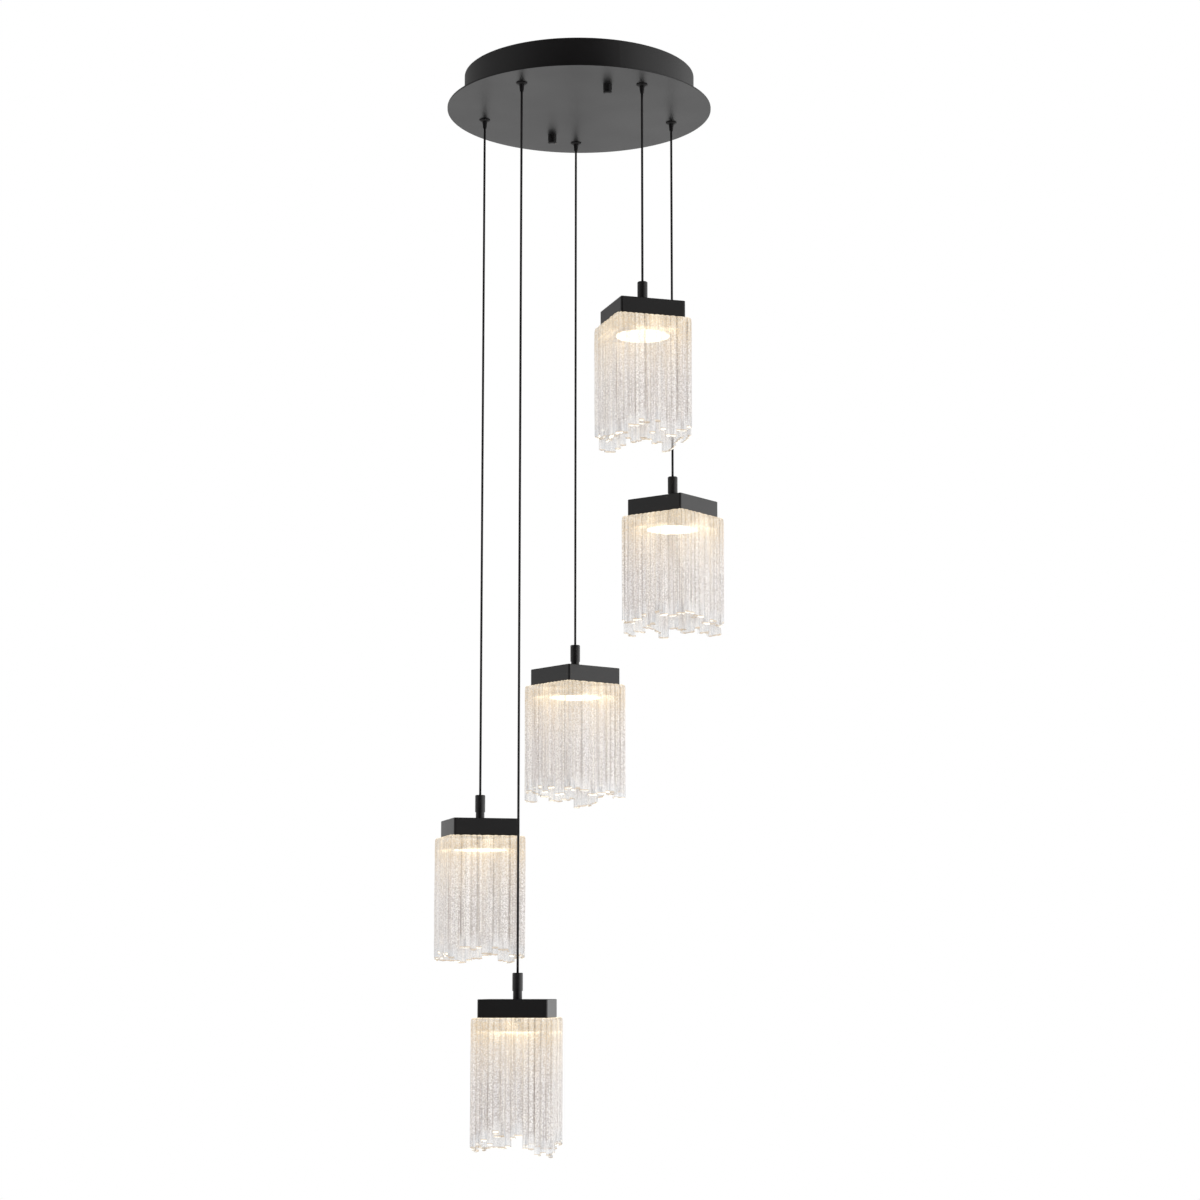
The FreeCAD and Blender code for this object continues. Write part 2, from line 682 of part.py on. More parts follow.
def tube(points, diameter, label):
    """A lead with flat sides along a route, with its volume set against section times length."""
    path, radii = rounded_path(points)
    along = FreeCAD.Vector(points[1] - points[0]).normalize()
    upright = FreeCAD.Vector(0, 0, 1)
    first = FreeCAD.Vector(1, 0, 0) if along.cross(upright).Length < 0.1 else along.cross(upright).normalize()
    second = along.cross(first)
    corners = []
    for step in range(LEAD_FACES):
        angle = math.radians(360 / LEAD_FACES * (step + 0.5))
        corners.append(points[0] + (first * math.cos(angle) + second * math.sin(angle)) * (diameter / 2))
    ring = Part.makePolygon(corners + corners[:1])
    solid = path.makePipeShell([ring], True, False)
    expected = Part.Face(ring).Area * path.Length
    ratio = solid.Volume / expected
    print(f"{label}: length {path.Length:.1f}, least radius {min(radii):.1f}, volume ratio {ratio:.4f}")
    return solid


def shaped(label, shape):
    item = doc.addObject("Part::Feature", label)
    item.Shape = shape
    return sub_part(item, label)


def cord_tails():
    """Inner stretch of each cord: up out of its gland, over to its terminal and down into it."""
    cord = value("cord_diameter")
    cord_top = value(f"{CORD_PIVOT} + cord_end_gap")
    rise_from = value(f"{PLATE_TOP} + gland_nut_height + gland_shank_spare")
    block_top = value(f"{PLATE_TOP} + block_height")
    ceiling_room = value("-bracket_thickness - bracket_flange") - cord
    crest = ceiling_room - cord / 2
    tails = []
    for number in PENDANTS:
        across, along = cord_place(number)
        foot = FreeCAD.Vector(value(across), value(along), 0)
        pole = FreeCAD.Vector(value(f"{POLE_ORDER[str(number)]} * pole_pitch"), value(LEAD_LINE), 0)
        heading = pole - foot
        span = heading.Length
        heading.normalize()
        rise = crest - rise_from
        fall = crest - block_top
        stations = [
            (0, cord_top),
            (0, rise_from + TAIL_BEND_LOW * rise),
            (TAIL_BEND_REACH * rise, rise_from + TAIL_BEND_HIGH * rise),
            (TAIL_CREST_START * span, crest),
            (TAIL_CREST_END * span, crest - TAIL_CREST_DROP),
            (span - TAIL_FALL_REACH * fall, block_top + TAIL_FALL_HIGH * fall),
            (span, block_top + TAIL_FALL_LOW * fall),
            (span, block_top),
        ]
        route = [foot + heading * reach + FreeCAD.Vector(0, 0, height) for reach, height in stations]
        tails.append(tube(route, cord, f"cord tail {number}"))
    shaped("cord_tails", Part.makeCompound(tails))


def driver_leads():
    """The driver's output pair, in a slack S across to the terminal block."""
    driver_face = value("driver_offset - driver_width / 2")
    block_face = value("block_offset + block_width / 2")
    height = value(f"{PLATE_TOP} + lead_height")
    gap = driver_face - block_face
    leads = []
    for side in (-1, 1):
        far = side * value("lead_spread") / 2
        near = side * value("pole_pitch") / 2
        route = [FreeCAD.Vector(across, along, height) for across, along in (
            (far, driver_face),
            (far, driver_face - LEAD_STRAIGHT * gap),
            (far + side * LEAD_BOW * gap, driver_face - LEAD_MIDDLE * gap),
            (near + side * LEAD_BOW_LOW * gap, block_face + LEAD_STRAIGHT * gap),
            (near, block_face + LEAD_LANDING * gap),
            (near, block_face),
        )]
        leads.append(tube(route, value("lead_diameter"), "driver lead"))
    shaped("driver_leads", Part.makeCompound(leads))


def ground_lead():
    """Earth lead with a ring terminal at each end, from the plate's earth stud up to the crossbar."""
    stud_x = value("ground_stud_reach")
    stud_y = value("ground_stud_offset")
    rim = value("earth_ring_rim")
    ring_outer = value("weld_nut_flats") / 2 + rim
    ring_inner = value("weld_stud_diameter") / 2
    ring_thickness = value("earth_ring_thickness")
    plate_top = value(PLATE_TOP)
    bar_under = value("-bracket_thickness - bracket_flange")
    bar_side = -value("bracket_width") / 2
    lead = value("lead_diameter")
    ring = Part.makeCylinder(ring_outer, ring_thickness, FreeCAD.Vector(stud_x, stud_y, plate_top))
    ring = ring.cut(Part.makeCylinder(ring_inner, ring_thickness, FreeCAD.Vector(stud_x, stud_y, plate_top)))
    route = [FreeCAD.Vector(*point) for point in (
        (stud_x, stud_y + ring_outer - rim, plate_top + lead / 2),
        (stud_x, stud_y + ring_outer + EARTH_STRAIGHT, plate_top + lead / 2),
        (stud_x + EARTH_BOW, stud_y + ring_outer + EARTH_TURN, plate_top + EARTH_LIFT),
        (stud_x + EARTH_BOW / 2, bar_side - EARTH_APPROACH, bar_under - EARTH_STRAIGHT),
        (stud_x, bar_side - EARTH_LANDING, bar_under + EARTH_GRIP),
        (stud_x, bar_side, bar_under + EARTH_GRIP),
    )]
    shaped("ground_lead", ring.fuse(tube(route, lead, "earth lead")).removeSplitter())


# ---------------------------------------------------------------- pendants


def cord(number):
    """Hung stretch of a suspension cord. Its flat top lies in the gland's mouth, where it swings."""
    body = new_body(f"cord_{number}")
    section = new_sketch(body, "section", "XY_Plane", f"-cord_length_{number}")
    draw_circle(section, ("0", "0"), "cord_diameter")
    pad(body, section, f"cord_length_{number}")
    across, along = cord_place(number)
    place(body, across, along, CORD_PIVOT)


def hang(item, number):
    """Puts a pendant's piece, drawn from the top of its cap, where its cord holds it."""
    across, along = cord_place(number)
    place(item, across, along, cap_top(number), f"pendant_turn_{number}")


def cord_grip(number):
    """Turned sleeve: the cord enters above, the neck's spigot is crimped in below and can turn."""
    body = new_body(f"cord_grip_{number}")
    radius = "grip_diameter / 2"
    bottom = "neck_length"
    top = "(neck_length + grip_length)"
    socket = "(spigot_diameter / 2 + running_clearance)"
    groove_low = f"({bottom} + (spigot_length - spigot_groove_width) / 2)"
    lip = f"({socket} - spigot_groove_depth)"
    revolve(body, [
        (socket, bottom),
        (radius, bottom),
        (radius, f"{top} - grip_chamfer"),
        (f"{radius} - grip_chamfer", top),
        ("cord_diameter / 2 + cord_bore_clearance / 2", top),
        ("cord_diameter / 2 + cord_bore_clearance / 2", f"{bottom} + spigot_length + seat_clearance"),
        (socket, f"{bottom} + spigot_length + seat_clearance"),
        (socket, f"{groove_low} + spigot_groove_width - running_clearance"),
        (lip, f"{groove_low} + spigot_groove_width - running_clearance"),
        (lip, f"{groove_low} + running_clearance"),
        (socket, f"{groove_low} + running_clearance"),
    ])
    hang(body, number)


def neck(number):
    """Turned neck: grooved spigot above, round shoulder on the cap, hollow threaded stem below."""
    body = new_body(f"neck_{number}")
    shoulder = "neck_diameter / 2"
    spigot = "spigot_diameter / 2"
    bore = "(board_lead_diameter / 2 + cord_bore_clearance)"
    stem = "stem_diameter / 2"
    top = "(neck_length + spigot_length)"
    groove_low = "(neck_length + (spigot_length - spigot_groove_width) / 2)"
    stem_end = f"({LED_TOP} - led_top_wall)"
    revolve(body, [
        (bore, stem_end),
        (stem, stem_end),
        (stem, "0"),
        (shoulder, "0"),
        (shoulder, "neck_length"),
        (spigot, "neck_length"),
        (spigot, groove_low),
        (f"{spigot} - spigot_groove_depth", groove_low),
        (f"{spigot} - spigot_groove_depth", f"{groove_low} + spigot_groove_width"),
        (spigot, f"{groove_low} + spigot_groove_width"),
        (spigot, top),
        (bore, top),
    ])
    hang(body, number)


def cap(number):
    """Square folded-steel cap, open below, with a hole for the stem."""
    body = new_body(f"cap_{number}")
    outer = new_sketch(body, "outer", "XY_Plane", "-cap_height")
    draw_rectangle(outer, "cap_side", "cap_side")
    box = pad(body, outer, "cap_height")
    doc.recompute()
    rounded = soften(body, box, edges_where(box.Shape, is_upright), "cap_corner_radius")
    doc.recompute()
    upper = edges_where(rounded.Shape, lambda edge: edge.BoundBox.ZMin > -TOUCH)
    broken = body.newObject("PartDesign::Chamfer", "top_edge")
    broken.Base = (rounded, upper)
    broken.setExpression("Size", bound("cap_edge_chamfer"))
    inner = new_sketch(body, "inner", "XY_Plane", "-cap_height")
    draw_rectangle(inner, "cap_side - 2 * cap_wall", "cap_side - 2 * cap_wall")
    pocket_up(body, inner, "cap_height - cap_wall")
    hole = new_sketch(body, "hole", "XY_Plane", "-cap_height")
    draw_circle(hole, ("0", "0"), "stem_diameter")
    pocket_up(body, hole, "cap_height")
    hang(body, number)


def rod_outline(side, corner_radius, rods, bulge):
    """Closed outline of a square with rounded corners whose edge bulges once for every rod."""
    half = side / 2 - bulge
    flat = side / 2 - corner_radius
    pitch = 2 * flat / rods
    edges = []
    for quarter in range(4):
        turn = FreeCAD.Rotation(FreeCAD.Vector(0, 0, 1), 90 * quarter)
        valleys = [FreeCAD.Vector(half, -flat + pitch * step, 0) for step in range(rods + 1)]
        for low, high in zip(valleys, valleys[1:]):
            crest = (low + high) / 2 + FreeCAD.Vector(bulge, 0, 0)
            edges.append(Part.Arc(*(turn.multVec(point) for point in (low, crest, high))).toShape())
        corner_end = FreeCAD.Vector(flat, half, 0)
        diagonal = FreeCAD.Vector(1, 1, 0).normalize()
        crest = FreeCAD.Vector(flat, flat, 0) + diagonal * (corner_radius - bulge / 2)
        edges.append(Part.Arc(*(turn.multVec(point) for point in (valleys[-1], crest, corner_end))).toShape())
    return Part.Wire(edges)


def turned_box(quarter, low, high):
    """A box between two corners, turned about Z by quarters."""
    size = high - low
    box = Part.makeBox(size.x, size.y, size.z, low)
    box.rotate(FreeCAD.Vector(), FreeCAD.Vector(0, 0, 1), 90 * quarter)
    return box


def foot_cutters(number, quarter):
    """What is cut off under one side of a shade and the corner after it, bar by bar."""
    half = value("glass_side") / 2
    flat = half - value("glass_corner_radius")
    tip = -value("glass_length")
    inside = half - value("glass_outer_wall")
    bars = FOOT_BARS[str(number)][quarter]
    corner_rise = CORNER_RISE[str(number)][quarter]
    unit = 2 * flat / sum(count for count, _ in bars)
    cutters = []
    across = -flat
    for count, rise in bars:
        cutters.append(turned_box(quarter, FreeCAD.Vector(inside, across, tip),
                                  FreeCAD.Vector(half, across + unit * count, tip + rise)))
        across += unit * count
    if corner_rise > 0:
        cutters.append(turned_box(quarter, FreeCAD.Vector(flat, flat, tip),
                                  FreeCAD.Vector(half, half, tip + corner_rise)))
    return cutters


def inner_rods(quarter):
    """Half-round rods on the inside of one side, each with its own foot."""
    inside = value("glass_side / 2 - glass_outer_wall")
    crest = inside - value("inner_rod_depth")
    deck = value("glass_deck")
    rises = INNER_RODS[quarter]
    pitch = 2 * crest / len(rises)
    rods = []
    for index, rise in enumerate(rises):
        low = FreeCAD.Vector(inside, -crest + pitch * index, -deck)
        high = low + FreeCAD.Vector(0, pitch, 0)
        middle = (low + high) / 2 + FreeCAD.Vector(crest - inside, 0, 0)
        outline = Part.Wire([Part.LineSegment(low, high).toShape(), Part.Arc(high, middle, low).toShape()])
        rod = Part.Face(outline).extrude(FreeCAD.Vector(0, 0, deck + rise - value("glass_length")))
        rod.rotate(FreeCAD.Vector(), FreeCAD.Vector(0, 0, 1), 90 * quarter)
        rods.append(rod)
    return rods


def glass(number):
    """A cast shade: a deck, an outer wall of upright rods with a stepped foot, and shorter inner rods."""
    side = value("glass_side")
    length = value("glass_length")
    deck = value("glass_deck")
    outline = rod_outline(side, value("glass_corner_radius"), int(value("rod_count")), value("rod_bulge"))
    block = Part.Face(outline).extrude(FreeCAD.Vector(0, 0, -length))
    hollow = side - 2 * value("glass_outer_wall")
    cavity = Part.makeBox(hollow, hollow, length - deck, FreeCAD.Vector(-hollow / 2, -hollow / 2, -length))
    stem_hole = Part.makeCylinder(value("stem_diameter") / 2, deck, FreeCAD.Vector(0, 0, -deck))
    cutters = [cavity, stem_hole]
    rods = []
    for quarter in range(4):
        cutters += foot_cutters(number, quarter)
        rods += inner_rods(quarter)
    item = shaped(f"glass_{number}", block.cut(cutters).fuse(rods).removeSplitter())
    across, along = cord_place(number)
    place(item, across, along, f"{cap_top(number)} - cap_height", f"pendant_turn_{number}")


def clamp_nut(number):
    """Nut that draws the glass up against the cap's rim."""
    body = new_body(f"clamp_nut_{number}")
    add_hex_nuts(body, "hexagon", [("0", "0")], "clamp_nut_flats", "stem_diameter", "clamp_nut_height",
                 "-cap_height - glass_deck - clamp_nut_height")
    hang(body, number)


def led_housing(number):
    """Round aluminium pan with a boss for the stem, open below."""
    body = new_body(f"led_housing_{number}")
    radius = "led_diameter / 2"
    top = LED_TOP
    revolve(body, [
        ("stem_diameter / 2", f"{top} + led_boss_height"),
        ("led_boss_diameter / 2", f"{top} + led_boss_height"),
        ("led_boss_diameter / 2", top),
        (radius, top),
        (radius, f"{top} - led_height"),
        (f"{radius} - led_rim", f"{top} - led_height"),
        (f"{radius} - led_rim", f"{top} - led_top_wall"),
        ("stem_diameter / 2", f"{top} - led_top_wall"),
    ])
    hang(body, number)


def led_board(number):
    """LED board against the pan's inside, with its soldered lead up through the stem."""
    body = new_body(f"led_board_{number}")
    board_top = f"({LED_TOP} - led_top_wall)"
    board_radius = "led_diameter / 2 - led_rim - seat_clearance"
    lead = "board_lead_diameter / 2"
    revolve(body, [
        ("0", f"{board_top} - board_thickness"),
        (board_radius, f"{board_top} - board_thickness"),
        (board_radius, board_top),
        (lead, board_top),
        (lead, "neck_length + spigot_length"),
        ("0", "neck_length + spigot_length"),
    ])
    hang(body, number)


def diffuser(number):
    """Opal disc that closes the pan, a little domed below."""
    body = new_body(f"diffuser_{number}")
    foot = f"({LED_TOP} - led_height)"
    radius = "(led_diameter / 2 - led_rim)"
    revolve(body, [
        ("0", f"{foot} + diffuser_thickness"),
        (radius, f"{foot} + diffuser_thickness"),
        (radius, foot),
        (f"{radius} - diffuser_edge", f"{foot} - diffuser_dome"),
        ("0", f"{foot} - diffuser_dome"),
    ])
    hang(body, number)


def build():
    canopy_drum()
    canopy_plate()
    mounting_bracket()
    bracket_studs()
    stud_nuts()
    cap_nut("cap_nut_a", 1)
    cap_nut("cap_nut_b", -1)
    led_driver()
    terminal_block()
    canopy_nuts()
    cord_glands()
    gland_nuts()
    cord_tails()
    driver_leads()
    ground_lead()
    for number in PENDANTS:
        cord(number)
        cord_grip(number)
        neck(number)
        cap(number)
        glass(number)
        clamp_nut(number)
        led_housing(number)
        led_board(number)
        diffuser(number)


def check_and_export():
    doc.recompute()
    for item in doc.Objects:
        if "Invalid" in item.State or "Error" in item.State:
            raise RuntimeError(f"{item.Label} failed: {item.State}")
    for item in sub_parts:
        if item.Shape.isNull() or not item.Shape.isValid() or not item.Shape.Solids:
            raise RuntimeError(f"{item.Label} has no valid solid")
    os.makedirs("parts", exist_ok=True)
    for item in sub_parts:
        item.Shape.exportStep(f"parts/{item.Label}.step")
    print(len(sub_parts), "pieces written")


build()
check_and_export()
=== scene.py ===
# Cluster pendant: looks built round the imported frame. Metres, +Z up, the ceiling at z = 0.

import json
import math
import random
from types import SimpleNamespace

import bpy
from mathutils import Matrix, Vector, noise


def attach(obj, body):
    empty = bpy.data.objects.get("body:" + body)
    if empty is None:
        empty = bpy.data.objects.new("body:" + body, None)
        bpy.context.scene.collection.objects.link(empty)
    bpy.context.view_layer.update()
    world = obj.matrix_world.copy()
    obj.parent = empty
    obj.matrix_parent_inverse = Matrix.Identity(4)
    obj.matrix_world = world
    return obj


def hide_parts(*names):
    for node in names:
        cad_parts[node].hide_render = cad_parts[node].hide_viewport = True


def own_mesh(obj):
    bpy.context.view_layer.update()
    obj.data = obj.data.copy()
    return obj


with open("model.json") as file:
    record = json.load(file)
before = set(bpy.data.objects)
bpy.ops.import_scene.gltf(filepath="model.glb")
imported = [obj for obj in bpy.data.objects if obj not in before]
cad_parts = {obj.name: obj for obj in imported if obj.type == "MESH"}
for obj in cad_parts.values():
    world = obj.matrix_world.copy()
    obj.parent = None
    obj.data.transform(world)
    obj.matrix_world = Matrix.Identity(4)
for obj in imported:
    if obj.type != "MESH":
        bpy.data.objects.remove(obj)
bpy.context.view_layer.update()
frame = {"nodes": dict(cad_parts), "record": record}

MM = 0.001
PENDANTS = (1, 2, 3, 4, 5)

# ---------------------------------------------------------------- sizes repeated from the part
CANOPY_HEIGHT = 45 * MM
PLATE_THICKNESS = 2 * MM
CORD_RING = 132 * MM
FIRST_CORD_ANGLE = 18
CORD_DIAMETER = 3 * MM
CORD_PIVOT = -55.6 * MM
CORD_LENGTH = {1: 0.252, 2: 0.476, 3: 0.689, 4: 0.897, 5: 1.125}
PENDANT_TURN = {1: -2.5, 2: 32.5, 3: 17.5, 4: -5.5, 5: -27.0}
GRIP_AND_NECK = 32 * MM
CAP_HEIGHT = 22 * MM

# What the glass reads off a shade's mesh: height above the rod's foot, strength of the painted glow on its end,
# the dark line of painted shade and the pale line of painted highlight beside a valley, the rod's own tone (on
# the inner rods, their painted glint), how far inside the wall a face lies, and the deck, which gets a painted
# glow.
MARKS = ("foot", "end", "dark", "pale", "tone", "inside", "deck")


def cord_spot(number):
    """Plan position of a pendant's cord."""
    angle = math.radians(FIRST_CORD_ANGLE + 72 * (number - 1))
    return Vector((CORD_RING * math.cos(angle), CORD_RING * math.sin(angle), 0))


def cap_top(number):
    """Height of a pendant's cap, which the neck's shoulder sits on."""
    return CORD_PIVOT - CORD_LENGTH[number] - GRIP_AND_NECK


# ---------------------------------------------------------------- camera
CAMERA_PLACE = (3.1191, -1.1291, -1.1943)
CAMERA_TILT = 98.43
CAMERA_HEADING = 69.62
CAMERA_LENS = 77.74
SENSOR_WIDTH = 36
FARTHEST_SEEN = 60

camera_data = bpy.data.cameras.new("camera")
camera_data.lens = CAMERA_LENS
camera_data.sensor_width = SENSOR_WIDTH
camera_data.clip_end = FARTHEST_SEEN
camera = bpy.data.objects.new("camera", camera_data)
camera.location = CAMERA_PLACE
camera.rotation_euler = (math.radians(CAMERA_TILT), 0, math.radians(CAMERA_HEADING))
bpy.context.collection.objects.link(camera)
bpy.context.scene.camera = camera


# ---------------------------------------------------------------- node helpers
class Nodes:
    """A material's node tree with short names for what this scene uses."""

    def __init__(self, name):
        self.material = bpy.data.materials.new(name)
        self.material.use_nodes = True
        self.tree = self.material.node_tree
        self.shader = self.tree.nodes["Principled BSDF"]

    def add(self, kind, **settings):
        node = self.tree.nodes.new(kind)
        for key, value in settings.items():
            if key in node.inputs:
                node.inputs[key].default_value = value
            else:
                setattr(node, key, value)
        return node

    def link(self, out, target):
        self.tree.links.new(out, target)

    def place(self):
        return self.add("ShaderNodeTexCoord").outputs["Object"]

    def stretched(self, scale):
        """Object coordinates scaled by its own amount each way."""
        mapping = self.add("ShaderNodeMapping")
        mapping.inputs["Scale"].default_value = scale
        self.link(self.place(), mapping.inputs["Vector"])
        return mapping.outputs["Vector"]

    def noise(self, scale, detail=3.0, roughness=0.55, where=None):
        node = self.add("ShaderNodeTexNoise", Scale=scale, Detail=detail, Roughness=roughness)
        self.link(where or self.place(), node.inputs["Vector"])
        return node.outputs["Fac"]

    def cells(self, scale):
        node = self.add("ShaderNodeTexVoronoi", Scale=scale)
        self.link(self.place(), node.inputs["Vector"])
        return node.outputs["Distance"]

    def ramp(self, factor, *stops):
        """A colour ramp through (position, colour) stops; a colour may be one grey number."""
        node = self.add("ShaderNodeValToRGB")
        elements = node.color_ramp.elements
        while len(elements) < len(stops):
            elements.new(0.5)
        for element, (position, colour) in zip(elements, stops):
            element.position = position
            element.color = (*colour, 1) if isinstance(colour, tuple) else (colour, colour, colour, 1)
        self.link(factor, node.inputs["Fac"])
        return node.outputs["Color"]

    def mix(self, factor, first, second):
        """Two colours mixed; each of the three may be a socket or a plain value."""
        node = self.add("ShaderNodeMix", data_type="RGBA")
        for socket, given in ((node.inputs[0], factor), (node.inputs[6], first), (node.inputs[7], second)):
            if isinstance(given, bpy.types.NodeSocket):
                self.link(given, socket)
            else:
                socket.default_value = (*given, 1) if isinstance(given, tuple) else given
        return node.outputs[2]

    def math(self, operation, first, second=0.5):
        node = self.add("ShaderNodeMath", operation=operation)
        for socket, given in zip(node.inputs, (first, second)):
            if isinstance(given, bpy.types.NodeSocket):
                self.link(given, socket)
            else:
                socket.default_value = given
        return node.outputs[0]

    def span(self, factor, low, high, to_low=0.0, to_high=1.0):
        """A number taken from one range to another, held at its ends."""
        node = self.add("ShaderNodeMapRange")
        for key, number in (("From Min", low), ("From Max", high), ("To Min", to_low), ("To Max", to_high)):
            node.inputs[key].default_value = number
        self.link(factor, node.inputs["Value"])
        return node.outputs["Result"]

    def attribute(self, name):
        return self.add("ShaderNodeAttribute", attribute_name=name).outputs["Fac"]

    def bump(self, height, distance, strength=1.0):
        node = self.add("ShaderNodeBump", Distance=distance, Strength=strength)
        self.link(height, node.inputs["Height"])
        self.link(node.outputs["Normal"], self.shader.inputs["Normal"])

    def into(self, out, name):
        self.link(out, self.shader.inputs[name])

    def set(self, **values):
        for key, number in values.items():
            self.shader.inputs[key.replace("_", " ")].default_value = number


# ---------------------------------------------------------------- materials
def black_paint():
    """Satin powder coat: a slow change of shade and a fine orange peel."""
    n = Nodes("painted_black")
    cloud = n.noise(9, 2)
    grain = n.noise(2600, 2)
    n.into(n.ramp(cloud, (0.3, (0.0034, 0.0030, 0.0032)), (0.7, (0.0052, 0.0045, 0.0048))), "Base Color")
    rough = n.math("ADD", n.span(cloud, 0.3, 0.7, 0.36, 0.42), n.span(grain, 0.3, 0.7, -0.03, 0.03))
    n.into(rough, "Roughness")
    n.bump(grain, 0.00006, 0.35)
    n.set(Specular_IOR_Level=0.42)
    return n.material


def zinc():
    """Bright zinc plate: pale spangle and fine brushed lines."""
    n = Nodes("zinc_steel")
    spangle = n.cells(160)
    brushed = n.noise(1.0, 3, where=n.stretched((60, 1800, 1800)))
    shade = n.math("ADD", n.math("MULTIPLY", spangle, 0.5), n.math("MULTIPLY", brushed, 0.5))
    n.into(n.ramp(shade, (0.25, (0.50, 0.51, 0.53)), (0.6, (0.68, 0.69, 0.71))), "Base Color")
    n.into(n.span(shade, 0.2, 0.7, 0.28, 0.42), "Roughness")
    n.bump(brushed, 0.00004, 0.4)
    n.set(Metallic=1.0)
    return n.material


def nylon():
    """Moulded black nylon, faintly mottled."""
    n = Nodes("black_nylon")
    mottle = n.noise(420, 3)
    n.into(n.ramp(mottle, (0.3, (0.0045, 0.004, 0.0045)), (0.7, (0.0085, 0.0075, 0.008))), "Base Color")
    n.into(n.span(mottle, 0.3, 0.7, 0.42, 0.52), "Roughness")
    n.bump(mottle, 0.00005, 0.3)
    n.set(Specular_IOR_Level=0.16)
    return n.material


def jacket(name, dark, light):
    """A cord's jacket: extruded plastic with slow shade changes and fine drawn lines."""
    n = Nodes(name)
    drawn = n.noise(1.0, 2, where=n.stretched((300, 300, 14)))
    n.into(n.ramp(drawn, (0.3, dark), (0.7, light)), "Base Color")
    n.into(n.span(drawn, 0.3, 0.7, 0.40, 0.52), "Roughness")
    n.bump(drawn, 0.00005, 0.4)
    n.set(Specular_IOR_Level=0.2)
    return n.material


def moulded(name, dark, light, rough=0.45):
    """Pale moulded plastic with a fine spark-eroded texture."""
    n = Nodes(name)
    texture = n.noise(1500, 2)
    cloud = n.noise(14, 2)
    n.into(n.ramp(cloud, (0.3, dark), (0.7, light)), "Base Color")
    n.into(n.span(texture, 0.3, 0.7, rough - 0.04, rough + 0.06), "Roughness")
    n.bump(texture, 0.00004, 0.4)
    return n.material


def spun_aluminium():
    """Turned aluminium: rings round the stem."""
    n = Nodes("led_aluminium")
    rings = n.noise(1.0, 2, where=n.stretched((40, 40, 2500)))
    n.into(n.ramp(rings, (0.3, (0.74, 0.73, 0.71)), (0.7, (0.86, 0.85, 0.83))), "Base Color")
    n.into(n.span(rings, 0.3, 0.7, 0.3, 0.42), "Roughness")
    n.set(Metallic=0.6)
    return n.material


def opal():
    """Lit opal acrylic, softly uneven."""
    n = Nodes("opal_diffuser")
    soft = n.noise(60, 2)
    n.into(n.ramp(soft, (0.3, (0.90, 0.86, 0.77)), (0.7, (0.94, 0.90, 0.82))), "Base Color")
    n.into(n.ramp(soft, (0.3, (1.0, 0.89, 0.66)), (0.7, (1.0, 0.92, 0.72))), "Emission Color")
    n.set(Roughness=0.35, Emission_Strength=3.4)
    return n.material


def glass_signals(n):
    """What the glass's colour, cover and glow share: places, the mesh's marks and the noises."""
    split = n.add("ShaderNodeSeparateXYZ")
    n.link(n.place(), split.inputs[0])
    height = split.outputs["Z"]
    column = n.noise(1.0, 2, 0.6, where=n.stretched((190, 190, 5)))
    dark_patches = n.span(column, 0.40, 0.60, 0.5, 1.0)
    pale_patches = n.span(column, 0.60, 0.40, 0.5, 1.0)
    # end, dark and pale carry the painted glow, the painted shade line and the painted highlight line; near_lamp
    # says where the painted lamp light falls; the bubble glints are painted bright points.
    return SimpleNamespace(
        height=height,
        column=column,
        across=n.math("MINIMUM", n.math("ABSOLUTE", split.outputs["X"]), n.math("ABSOLUTE", split.outputs["Y"])),
        grain=n.noise(760, 1, 0.5),
        bubbles=n.cells(560),
        bubble_glints=n.cells(420),
        end=n.attribute("end"),
        inside=n.attribute("inside"),
        deck=n.attribute("deck"),
        clear=n.span(n.attribute("foot"), 0.004, 0.020, 1.0, 0.0),
        dark=n.math("MULTIPLY", n.math("POWER", n.attribute("dark"), 1.3), dark_patches),
        pale=n.math("MULTIPLY", n.math("POWER", n.attribute("pale"), 1.3), pale_patches),
        near_lamp=n.ramp(n.span(height, -0.08, 0.0), (0.0, 0.0), (0.55, 0.35), (0.8, 1.0)),
    )


